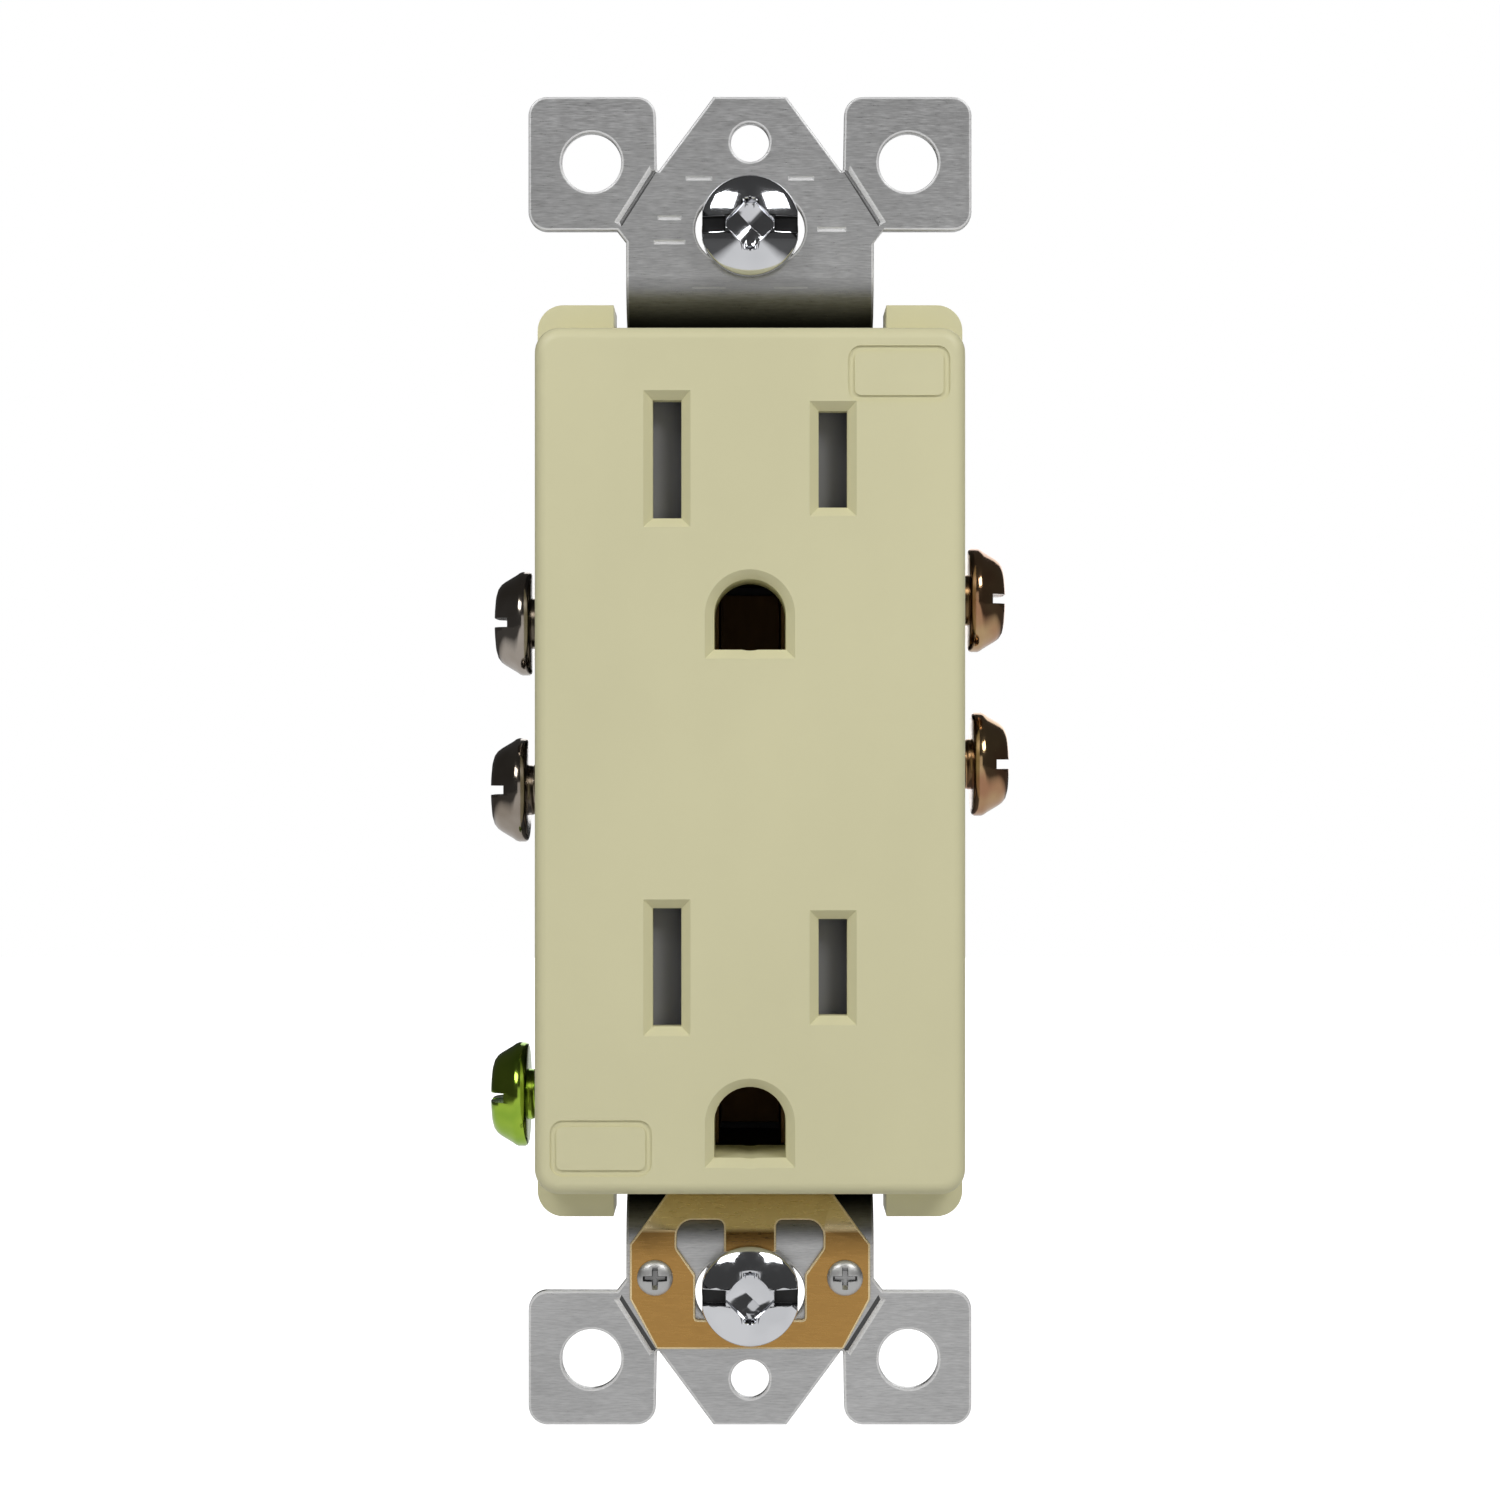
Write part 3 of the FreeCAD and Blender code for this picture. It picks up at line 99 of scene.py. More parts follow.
class NodeSheet:
    """A material's node tree, with short ways to add and wire its nodes."""

    def __init__(self, name: str) -> None:
        """Start a material with a shader wired to its output.

        Args:
            name: The material's name.
        """
        self.material = bpy.data.materials.new(name)
        self.material.use_nodes = True
        self.tree = self.material.node_tree
        self.shader = self.tree.nodes["Principled BSDF"]
        self.coordinates = self.tree.nodes.new("ShaderNodeTexCoord")

    def add(self, kind: str, **settings: object) -> bpy.types.Node:
        """Add a node.

        Args:
            kind: The node's type without the ShaderNode prefix.
            **settings: Attributes to set on the node.

        Returns:
            The new node.
        """
        node = self.tree.nodes.new("ShaderNode" + kind)
        for key, value in settings.items():
            setattr(node, key, value)
        return node

    def feed(self, target: Socket, value: Feed) -> None:
        """Wire an input to another socket, or set it to a plain value.

        Args:
            target: The input.
            value: A socket, a number or a linear colour.
        """
        if isinstance(value, Socket):
            self.tree.links.new(value, target)
        elif isinstance(value, tuple):
            target.default_value = (*value, 1.0)
        else:
            target.default_value = value

    def drive(self, name: str, value: Feed) -> None:
        """Feed one of the shader's own inputs."""
        self.feed(self.shader.inputs[name], value)

    def axes(self) -> bpy.types.bpy_prop_collection:
        """The object coordinates as separate sockets.

        Returns:
            The sockets X, Y and Z.
        """
        split = self.add("SeparateXYZ")
        self.feed(split.inputs["Vector"], self.coordinates.outputs["Object"])
        return split.outputs

    def noise(self, scale: Triple, detail: float = 2.0, roughness: float = 0.5) -> Socket:
        """A noise value over the object coordinates.

        Args:
            scale: Factors for X, Y and Z.
            detail: How many finer layers it has.
            roughness: How strong the finer layers are.

        Returns:
            The noise value socket.
        """
        mapping = self.add("Mapping")
        mapping.inputs["Scale"].default_value = scale
        self.feed(mapping.inputs["Vector"], self.coordinates.outputs["Object"])
        node = self.add("TexNoise")
        node.inputs["Scale"].default_value = 1.0
        node.inputs["Detail"].default_value = detail
        node.inputs["Roughness"].default_value = roughness
        self.feed(node.inputs["Vector"], mapping.outputs["Vector"])
        return node.outputs["Fac"]

    def spread(self, value: Socket, result: Pair, source: Pair = (0.3, 0.7)) -> Socket:
        """Move a value's range to another one.

        Args:
            value: The value to read.
            result: Results at the start and end of the range.
            source: Where the input range starts and ends.

        Returns:
            The moved value socket.
        """
        node = self.add("MapRange")
        node.inputs["From Min"].default_value, node.inputs["From Max"].default_value = source
        node.inputs["To Min"].default_value, node.inputs["To Max"].default_value = result
        self.feed(node.inputs["Value"], value)
        return node.outputs["Result"]

    def reckon(self, operation: str, *values: Feed) -> Socket:
        """Work out a number from other numbers.

        Args:
            operation: The Math node's operation.
            *values: Its inputs in order.

        Returns:
            The number's socket.
        """
        node = self.add("Math", operation=operation)
        for target, value in zip(node.inputs, values):
            self.feed(target, value)
        return node.outputs["Value"]

    def mix(self, factor: Feed, first: Feed, second: Feed, kind: str = "MIX") -> Socket:
        """A colour made from two others.

        Args:
            factor: How much the second colour counts.
            first: The colour where the factor is 0.
            second: The colour that comes in.
            kind: MIX, or MULTIPLY to darken the first colour by the second.

        Returns:
            The colour socket.
        """
        node = self.add("Mix", data_type="RGBA", blend_type=kind)
        for key, value in (("Factor", factor), ("A", first), ("B", second)):
            self.feed(node.inputs[key], value)
        return node.outputs["Result"]

    def mottled(self, value: Socket, colour: Triple, contrast: float) -> Socket:
        """A colour that drifts darker and lighter by a value.

        Args:
            value: 0 for the darkest and 1 for the lightest.
            colour: The middle colour, linear.
            contrast: How far it drifts each way.

        Returns:
            The colour socket.
        """
        return self.mix(value, shade(colour, 1 - contrast), shade(colour, 1 + contrast))

    def relief(self, height: Socket, depth_mm: float, strength: float) -> None:
        """Bump the surface by a height value.

        Args:
            height: The height value socket.
            depth_mm: Depth of the relief.
            strength: Strength of the bump.
        """
        node = self.add("Bump")
        node.inputs["Distance"].default_value = depth_mm * MM
        node.inputs["Strength"].default_value = strength
        self.feed(node.inputs["Height"], height)
        self.drive("Normal", node.outputs["Normal"])


def shade(colour: Triple, factor: float) -> Triple:
    """A colour made darker or lighter.

    Args:
        colour: Linear colour.
        factor: What each channel is multiplied by.

    Returns:
        The new colour.
    """
    return tuple(min(1.0, channel * factor) for channel in colour)


@dataclass(frozen=True)
class MouldedFinish:
    """Moulded plastic: a fine sparked skin, faint flow mottling and a soft gloss."""

    name: str
    colour: Triple
    roughness: float = 0.42
    mottle: float = 0.03
    grain_mm: float = 0.004
    grain_strength: float = 0.35
    flow_scale: Triple = (60.0, 60.0, 35.0)
    skin_scale: Triple = (4200.0, 4200.0, 4200.0)
    smoother: float = 0.05
    rougher: float = 0.07
    refraction: float = 1.5
    specular: float = 0.45

    def make(self) -> bpy.types.Material:
        """Build the material.

        Returns:
            The material.
        """
        sheet = NodeSheet(self.name)
        flow = sheet.spread(sheet.noise(self.flow_scale, 3.0), (0.0, 1.0))
        sheet.drive("Base Color", sheet.mottled(flow, self.colour, self.mottle))
        skin = sheet.noise(self.skin_scale, 3.0, 0.6)
        gloss = (self.roughness - self.smoother, self.roughness + self.rougher)
        sheet.drive("Roughness", sheet.spread(skin, gloss))
        sheet.relief(skin, self.grain_mm, self.grain_strength)
        sheet.drive("IOR", self.refraction)
        sheet.drive("Specular IOR Level", self.specular)
        return sheet.material


@dataclass(frozen=True)
class BrushedFinish:
    """Sheet metal with rolled streaks along one axis and faint stains.

    The bend ranges are distances from the middle of the device, in metres, over
    which painted shade darkens the sheet's front towards its bends.
    """

    name: str
    colour: Triple
    streaks: Axis = Axis.X
    roughness: float = 0.34
    contrast: float = 0.22
    stain: float = 0.1
    metallic: float = 1.0
    # Darkest factor of the painted shade towards the bends; None leaves it out.
    bend_painted_shade: float | None = None
    # Painted highlight: a paler colour for the folded end, and the heights it blends between.
    pale: tuple[Triple, float, float] | None = None
    across_streak: float = 9000.0
    along_streak: float = 1000.0
    cloud_scale: Triple = (110.0, 110.0, 110.0)
    broad_share: float = 0.35
    streak_range: Pair = (0.42, 0.92)
    stain_colour: Triple = (0.7, 0.7, 0.7)
    smoother: float = 0.08
    rougher: float = 0.12
    grain_mm: float = 0.006
    crease: float = 0.0022
    crease_painted_shade: float = 0.5
    bend_across: Pair = (0.0125, 0.0135)
    bend_along: Pair = (0.034, 0.038)
    bend_back: Pair = (0.0035, 0.007)
    bend_power: float = 2.0

    def stretch(self, along: float = 1.0, across: float = 1.0) -> Triple:
        """Noise factors that draw the noise out into streaks.

        Args:
            along: What the factor along the streaks is multiplied by.
            across: What the factors across them are multiplied by.

        Returns:
            Factors for X, Y and Z.
        """
        return tuple(
            self.along_streak * along if axis is self.streaks else self.across_streak * across
            for axis in Axis
        )

    def painted_fold_highlight(self, sheet: NodeSheet, tone: Socket) -> Socket:
        """Paint shade onto the crease above the folded end, and blend into the end's paler colour,
        a painted highlight.

        Args:
            sheet: The material's node sheet.
            tone: The flat part's colour.

        Returns:
            The colour socket.
        """
        colour, low, high = self.pale
        height = sheet.axes()["Z"]
        crease = sheet.spread(height, (1.0, self.crease_painted_shade), (low - self.crease, low))
        folded = sheet.spread(height, (0.0, 1.0), (low, high))
        return sheet.mix(folded, sheet.mix(1.0, tone, crease, "MULTIPLY"), colour)

    def painted_bend_tone(self, sheet: NodeSheet) -> Socket:
        """How light the sheet is: painted shade that darkens its front towards its bends.

        Args:
            sheet: The material's node sheet.

        Returns:
            A grey value socket.
        """
        axes = sheet.axes()
        across = sheet.spread(sheet.reckon("ABSOLUTE", axes["X"]), (1.0, 0.0), self.bend_across)
        along = sheet.spread(sheet.reckon("ABSOLUTE", axes["Z"]), (1.0, 0.0), self.bend_along)
        front = sheet.spread(axes["Y"], (1.0, 0.0), self.bend_back)
        worst = sheet.reckon("MULTIPLY", sheet.reckon("MULTIPLY", across, along), front)
        light = sheet.spread(worst, (1.0, self.bend_painted_shade), (0.0, 1.0))
        return sheet.reckon("POWER", light, self.bend_power)

    def make(self) -> bpy.types.Material:
        """Build the material.

        Returns:
            The material.
        """
        sheet = NodeSheet(self.name)
        streak = sheet.noise(self.stretch(), 4.0, 0.6)
        broad = sheet.noise(self.stretch(0.22, 0.2))
        cloud = sheet.noise(self.cloud_scale, 3.0)
        wear_and_edge_highlight = sheet.reckon("MULTIPLY_ADD", broad, self.broad_share, streak)
        drift = sheet.spread(wear_and_edge_highlight, (0.0, 1.0), self.streak_range)
        tone = sheet.mottled(drift, self.colour, self.contrast)
        # Painted highlight on the folded end, with painted shade at its crease.
        if self.pale:
            tone = self.painted_fold_highlight(sheet, tone)
        stained = sheet.spread(cloud, (0.0, self.stain * 4))
        tone = sheet.mix(stained, tone, self.stain_colour, "MULTIPLY")
        # Painted shade: the front darkens towards the bends.
        if self.bend_painted_shade is not None:
            tone = sheet.mix(1.0, tone, self.painted_bend_tone(sheet), "MULTIPLY")
        sheet.drive("Base Color", tone)
        gloss = (self.roughness - self.smoother, self.roughness + self.rougher)
        sheet.drive("Roughness", sheet.spread(streak, gloss))
        sheet.relief(streak, self.grain_mm, 0.5)
        sheet.drive("Metallic", self.metallic)
        return sheet.material


@dataclass(frozen=True)
class PlatedFinish:
    """Bright plating on a formed part: smooth, with a drifting tint and fine wear."""

    name: str
    colour: Triple
    second: Triple
    roughness: float = 0.1
    wear: float = 0.06
    drift_scale: Triple = (260.0, 260.0, 260.0)
    drift_range: Pair = (0.38, 0.62)
    scuff_scale: Triple = (1600.0, 1600.0, 1600.0)
    scuff_range: Pair = (0.45, 0.75)
    grain_mm: float = 0.006

    def make(self) -> bpy.types.Material:
        """Build the material.

        Returns:
            The material.
        """
        sheet = NodeSheet(self.name)
        drift = sheet.spread(sheet.noise(self.drift_scale), (0.0, 1.0), self.drift_range)
        sheet.drive("Base Color", sheet.mix(drift, self.colour, self.second))
        scuff = sheet.noise(self.scuff_scale, 4.0, 0.7)
        gloss = (self.roughness, self.roughness + self.wear)
        sheet.drive("Roughness", sheet.spread(scuff, gloss, self.scuff_range))
        sheet.relief(scuff, self.grain_mm, 0.25)
        sheet.drive("Metallic", 1.0)
        return sheet.material


class Finish(Enum):
    """Every finish on the device."""

    IVORY = MouldedFinish("ivory_moulding", (0.735, 0.7, 0.437), roughness=0.42)
    DARK = MouldedFinish("dark_moulding", (0.024, 0.024, 0.026), roughness=0.5)
    TRAY = MouldedFinish("tray_moulding", (0.04, 0.04, 0.045), roughness=0.5)
    SHUTTER = MouldedFinish("shutter_moulding", (0.24, 0.24, 0.255), roughness=0.45)
    FIBRE = MouldedFinish(
        "retainer_fibre", (0.55, 0.53, 0.47), roughness=0.75, mottle=0.12, grain_mm=0.02
    )
    # Painted shadow: a near-black colour on the walls of the box screws' slots.
    SHADOW = MouldedFinish("recess_painted_shadow", (0.012, 0.012, 0.014), roughness=0.35)
    # The strap's front carries painted shade towards its bends.
    STRAP = BrushedFinish("galvanised_strap", (0.62, 0.62, 0.62), contrast=0.24, bend_painted_shade=0.04)
    # Painted highlight: a light colour on the strap's rounded edges, on its stamped marks and on
    # one wall of each score.
    STRAP_EDGE_HIGHLIGHT = BrushedFinish(
        "edge_painted_highlight", (0.8, 0.8, 0.8), roughness=0.3, contrast=0.08, metallic=0.1, bend_painted_shade=0.05
    )
    # Painted shade: a dark colour on one wall of each score.
    SCORE_SHADE = BrushedFinish("score_painted_shade", (0.12, 0.12, 0.12), roughness=0.4, contrast=0.1)
    BRASS = BrushedFinish(
        "clip_brass", (0.56, 0.315, 0.095), roughness=0.3, contrast=0.03, stain=0.03,
        # The folded end is painted paler as a highlight, with painted shade at its crease.
        pale=((0.88, 0.7, 0.38), -0.0369, -0.0365),
    )
    # Painted highlight: a light colour on the clip's rounded edges.
    BRASS_EDGE_HIGHLIGHT = BrushedFinish(
        "clip_edge_painted_highlight", (1.0, 0.78, 0.45), roughness=0.28, contrast=0.05, metallic=0.1
    )
    BUS = BrushedFinish("bus_brass", (0.5, 0.3, 0.1), Axis.Z, roughness=0.4, contrast=0.1)
    # Bronze darkened as painted shade, for the ground holes that look into it.
    GROUND_BUS_SHADE = BrushedFinish("ground_bus_painted_shade", (0.12, 0.07, 0.03), Axis.Z, 0.5, contrast=0.12)
    NICKEL_SHEET = BrushedFinish("nickelled_sheet", (0.55, 0.51, 0.43), Axis.Z, contrast=0.08)
    CLAMP = BrushedFinish("clamp_sheet", (0.3, 0.27, 0.22), Axis.Z, contrast=0.12)
    CHROME = PlatedFinish("screw_chrome", (0.82, 0.83, 0.86), (0.74, 0.75, 0.78), roughness=0.07)
    RIVET = PlatedFinish("rivet_steel", (0.78, 0.78, 0.77), (0.6, 0.6, 0.6), roughness=0.12)
    # Painted shade: a darker colour on the walls of the rivets' cross recess.
    RIVET_RECESS_SHADE = PlatedFinish("rivet_recess_painted_shade", (0.42, 0.42, 0.42), (0.2, 0.2, 0.2), roughness=0.25)
    NICKEL = PlatedFinish("screw_nickel", (0.46, 0.41, 0.36), (0.33, 0.28, 0.23), roughness=0.12)
    COPPERY = PlatedFinish("screw_brass", (0.56, 0.38, 0.2), (0.44, 0.23, 0.13), roughness=0.12)
    GREEN = PlatedFinish("screw_green", (0.42, 0.62, 0.07), (0.22, 0.42, 0.04), roughness=0.14)
    ZINC = PlatedFinish("zinc_plate", (0.6, 0.6, 0.6), (0.5, 0.52, 0.54), roughness=0.22)
    SPRING = PlatedFinish("spring_wire", (0.55, 0.55, 0.56), (0.48, 0.48, 0.5), roughness=0.18)

    def material(self) -> bpy.types.Material:
        """The finish's material, built once.

        Returns:
            The material.
        """
        found = bpy.data.materials.get(self.value.name)
        return found or self.value.make()


# ---------------------------------------------------------------- workshop


def clear_selection() -> None:
    """Leave edit mode and select nothing."""
    if bpy.context.object and bpy.context.object.mode != "OBJECT":
        bpy.ops.object.mode_set(mode="OBJECT")
    bpy.ops.object.select_all(action="DESELECT")


def focus(piece: Piece) -> None:
    """Make a piece the only selected one and the active one.

    Args:
        piece: The piece.
    """
    clear_selection()
    piece.select_set(True)
    bpy.context.view_layer.objects.active = piece


def settle(piece: Piece, place: Matrix | None = None) -> Piece:
    """Move a piece's place into its mesh, so that its object sits at the origin.

    Args:
        piece: The piece.
        place: Where it goes after its own place is applied.

    Returns:
        The same piece.
    """
    bpy.context.view_layer.update()
    piece.data.transform((place or Matrix.Identity(4)) @ piece.matrix_world)
    piece.matrix_world = Matrix.Identity(4)
    return piece


def edit_all(piece: Piece) -> None:
    """Open a piece in edit mode with everything selected.

    Args:
        piece: The piece.
    """
    focus(piece)
    bpy.ops.object.mode_set(mode="EDIT")
    bpy.ops.mesh.select_mode(type="VERT")
    bpy.ops.mesh.select_all(action="SELECT")


def unpick(piece: Piece, kind: str) -> None:
    """Deselect a piece's whole mesh, before parts of it are picked one by one.

    Args:
        piece: The piece.
        kind: VERT or EDGE, for what is picked next.
    """
    edit_all(piece)
    bpy.ops.mesh.select_mode(type=kind)
    bpy.ops.mesh.select_all(action="DESELECT")
    bpy.ops.object.mode_set(mode="OBJECT")


def outward(piece: Piece) -> Piece:
    """Turn a piece's faces outwards.

    Args:
        piece: The piece.

    Returns:
        The same piece.
    """
    edit_all(piece)
    bpy.ops.mesh.normals_make_consistent(inside=False)
    bpy.ops.object.mode_set(mode="OBJECT")
    return piece


def apply_modifier(piece: Piece, name: str) -> None:
    """Apply one of a piece's modifiers."""
    focus(piece)
    bpy.ops.object.modifier_apply(modifier=name)


def cad_copy(node: str, name: str) -> Piece:
    """A merged copy of a CAD node's mesh, with flat faces joined.

    Args:
        node: The node's name.
        name: The new piece's name.

    Returns:
        The copy, which still has to ride and replace.
    """
    piece = bpy.data.objects.new(name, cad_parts[node].data.copy())
    piece.data.materials.clear()
    bpy.context.collection.objects.link(piece)
    edit_all(piece)
    bpy.ops.mesh.remove_doubles(threshold=WELD_MM * MM)
    bpy.ops.mesh.dissolve_limited(angle_limit=math.radians(FLAT_DEGREES))
    bpy.ops.object.mode_set(mode="OBJECT")
    forget_shading(piece)
    return piece


def forget_shading(piece: Piece) -> None:
    """Clear the stored normals of the active piece, which a cut would carry over."""
    if piece.data.has_custom_normals:
        bpy.ops.mesh.customdata_custom_splitnormals_clear()


def coat(piece: Piece, *finishes: Finish) -> None:
    """Add finishes to a piece."""
    for finish in finishes:
        piece.data.materials.append(finish.material())


def level(piece: Piece) -> None:
    """Keep a piece's flat faces flat in shading, beside its rounded edges.

    Args:
        piece: The piece.
    """
    focus(piece)
    bpy.ops.object.modifier_add(type="WEIGHTED_NORMAL")
    weights = piece.modifiers[-1]
    weights.keep_sharp = True
    weights.weight = 100
    apply_modifier(piece, weights.name)


def soften(
    piece: Piece,
    width_mm: float,
    segments: int = 2,
    degrees: float = 35.0,
    clamp: bool = True,
    wear_and_edge_highlight: tuple[Finish, Finish] | None = None,
) -> None:
    """Round a piece's sharp edges and smooth its shading.

    Args:
        piece: The piece.
        width_mm: Width of the rounding.
        segments: Faces across it.
        degrees: Edges sharper than this are rounded.
        clamp: Whether the width shrinks where edges are close together.
        wear_and_edge_highlight: The piece's finish and that of its rounded edges, where they
            differ; the edges' finish is a painted highlight.
    """
    if wear_and_edge_highlight and not piece.data.materials:
        coat(piece, *wear_and_edge_highlight)
    focus(piece)
    bpy.ops.object.modifier_add(type="BEVEL")
    bevel = piece.modifiers[-1]
    bevel.limit_method = "ANGLE"
    bevel.angle_limit = math.radians(degrees)
    bevel.width = width_mm * MM
    bevel.segments = segments
    bevel.miter_outer = "MITER_ARC"
    bevel.use_clamp_overlap = clamp
    if wear_and_edge_highlight:
        # The rounded edges take the second finish, a painted highlight colour.
        bevel.material = 1
    apply_modifier(piece, bevel.name)
    smooth(piece)
    level(piece)


def smooth(piece: Piece, degrees: float = 32.0) -> None:
    """Shade a piece smoothly except across its sharp edges."""
    focus(piece)
    bpy.ops.object.shade_smooth_by_angle(angle=math.radians(degrees))


def carve(piece: Piece, cutter: Piece, operation: str = "DIFFERENCE") -> None:
    """Cut one shape out of another, or keep what they share.

    The cut keeps the cutter's finish, where it has one.

    Args:
        piece: The shape that stays.
        cutter: The shape that is used up.
        operation: DIFFERENCE or INTERSECT.
    """
    focus(piece)
    forget_shading(piece)
    bpy.ops.object.modifier_add(type="BOOLEAN")
    tool = piece.modifiers[-1]
    tool.operation = operation
    tool.solver = "EXACT"
    tool.material_mode = "TRANSFER" if cutter.data.materials else "INDEX"
    tool.object = cutter
    apply_modifier(piece, tool.name)
    bpy.data.objects.remove(cutter)


def cuboid(x: Pair, y: Pair, z: Pair) -> Piece:
    """A box between three pairs of planes, in millimetres.

    Args:
        x: Low and high X.
        y: Low and high Y.
        z: Low and high Z.

    Returns:
        The box.
    """
    clear_selection()
    middle = Vector((sum(x), sum(y), sum(z))) * 0.5 * MM
    bpy.ops.mesh.primitive_cube_add(size=1.0, location=middle)
    box = bpy.context.object
    box.name = "cutter"
    box.scale = Vector((x[1] - x[0], y[1] - y[0], z[1] - z[0])) * MM
    return settle(box)


def tapered(half_top: Pair, half_foot: Pair, top: float, foot: float) -> Piece:
    """A box whose foot is smaller than its top, in millimetres, about the Z axis.

    Args:
        half_top: Half sizes of the top along X and Y.
        half_foot: Half sizes of the foot.
        top: Height of the top.
        foot: Height of the foot.

    Returns:
        The box.
    """
    box = cuboid((-half_top[0], half_top[0]), (-half_top[1], half_top[1]), (foot, top))
    unpick(box, "VERT")
    middle = (top + foot) / 2 * MM
    for vertex in box.data.vertices:
        vertex.select = vertex.co.z < middle
    bpy.ops.object.mode_set(mode="EDIT")
    ratio = (half_foot[0] / half_top[0], half_foot[1] / half_top[1], 1.0)
    bpy.ops.transform.resize(value=ratio, center_override=(0.0, 0.0, foot * MM))
    bpy.ops.object.mode_set(mode="OBJECT")
    return box


def turned(name: str, rings: Rings, sides: int) -> Piece:
    """A round piece about the Z axis, extruded ring by ring.

    Args:
        name: The piece's name.
        rings: Radius and height of each ring in millimetres, from the bottom up.
        sides: Vertices around each ring.

    Returns:
        The closed piece.
    """
    clear_selection()
    radius, height = rings[0]
    bpy.ops.mesh.primitive_circle_add(
        vertices=sides, radius=radius * MM, fill_type="NGON", location=(0.0, 0.0, height * MM)
    )
    piece = settle(bpy.context.object)
    piece.name = name
    edit_all(piece)
    for new_radius, new_height in rings[1:]:
        rise = (0.0, 0.0, (new_height - height) * MM)
        bpy.ops.mesh.extrude_region_move(TRANSFORM_OT_translate={"value": rise})
        ratio = new_radius / radius
        if abs(ratio - 1.0) > 1e-9:
            pivot = (0.0, 0.0, new_height * MM)
            bpy.ops.transform.resize(value=(ratio, ratio, 1.0), center_override=pivot)
        radius, height = new_radius, new_height
    bpy.ops.mesh.normals_make_consistent(inside=False)
    bpy.ops.object.mode_set(mode="OBJECT")
    return piece


@dataclass(frozen=True)
class Thread:
    """A right-hand thread between two heights, in millimetres."""

    radius: float
    depth: float
    low: float
    high: float
    pitch: float = 0.794
    steps: int = 8
    crest: float = 0.12
    flank: float = 0.76

    def rings(self) -> Rings:
        """Evenly spaced rings for the threaded stretch.

        Returns:
            Radius and height of each ring.
        """
        long = self.high - self.low
        count = max(2, round(long / self.pitch * self.steps))
        return [(self.radius, self.low + long * i / count) for i in range(count + 1)]

    def cut(self, piece: Piece) -> None:
        """Shape the thread into its rings.

        Args:
            piece: The turned piece.
        """
        for vertex in piece.data.vertices:
            height = vertex.co.z / MM
            across = math.hypot(vertex.co.x, vertex.co.y) / MM
            inside = self.low - 1e-6 <= height <= self.high + 1e-6
            if not inside or abs(across - self.radius) > 1e-3:
                continue
            turn = math.atan2(vertex.co.y, vertex.co.x) / math.tau
            phase = (height / self.pitch - turn) % 1.0
            fall = min(1.0, max(0.0, (abs(2 * phase - 1) - self.crest) / self.flank))
            ends = min(height - self.low, self.high - height) / self.pitch
            wanted = self.radius - self.depth * fall * max(0.0, min(1.0, ends))
            vertex.co.x *= wanted / across
            vertex.co.y *= wanted / across


def duplicate(piece: Piece, name: str) -> Piece:
    """A copy of a piece with its own mesh.

    Args:
        piece: The piece.
        name: The copy's name.

    Returns:
        The copy.
    """
    twin = bpy.data.objects.new(name, piece.data.copy())
    bpy.context.collection.objects.link(twin)
    return twin


def frame_of(x: Triple, y: Triple, z: Triple, origin: Triple) -> Matrix:
    """A placement whose local axes point along three directions.

    Args:
        x: Where the local X axis points.
        y: Where the local Y axis points.
        z: Where the local Z axis points.
        origin: Where the local origin goes, in millimetres.

    Returns:
        The placement.
    """
    place = Matrix((x, y, z)).transposed().to_4x4()
    place.translation = Vector(origin) * MM
    return place


def facing_front(x: float, y: float, z: float) -> Matrix:
    """A placement whose local Z axis points to the front, at a point in millimetres."""
    return frame_of((1, 0, 0), (0, 0, 1), (0, -1, 0), (x, y, z))


def dress(piece: Piece, finish: Finish, slot: str, body: str, *nodes: str) -> None:
    """Give a piece its finish, its body and the nodes that it stands for.

    Args:
        piece: The finished mesh.
        finish: Its finish.
        slot: The record's material slot; not used.
        body: The CAD body it moves with.
        *nodes: CAD nodes it replaces.
    """
    if piece.data.materials:
        piece.data.materials[0] = finish.material()
    else:
        coat(piece, finish)
    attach(piece, body)
    if nodes:
        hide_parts(*nodes)
    LOG.info("%s: %d faces on %s", piece.name, len(piece.data.polygons), body)


def rounded_copy(
    node: str, name: str, edge: float, finish: Finish, slot: str, body: str = "housing",
    segments: int = 2,
) -> None:
    """Dress a copy of a CAD piece with rounded edges and nothing else changed.

    Args:
        node: The piece's CAD node.
        name: The new piece's name.
        edge: Width of its rounded edges in millimetres.
        finish: Its finish.
        slot: The record's material slot.
        body: The CAD body it moves with.
        segments: Faces across each rounded edge.
    """
    piece = cad_copy(node, name)
    soften(piece, edge, segments)
    dress(piece, finish, slot, body, node)


def centre_of(node: str) -> Vector:
    """The middle of a CAD node's box, in millimetres."""
    low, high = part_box(node)
    return (Vector(low) + Vector(high)) * 0.5 / MM


# ---------------------------------------------------------------- sub-assemblies


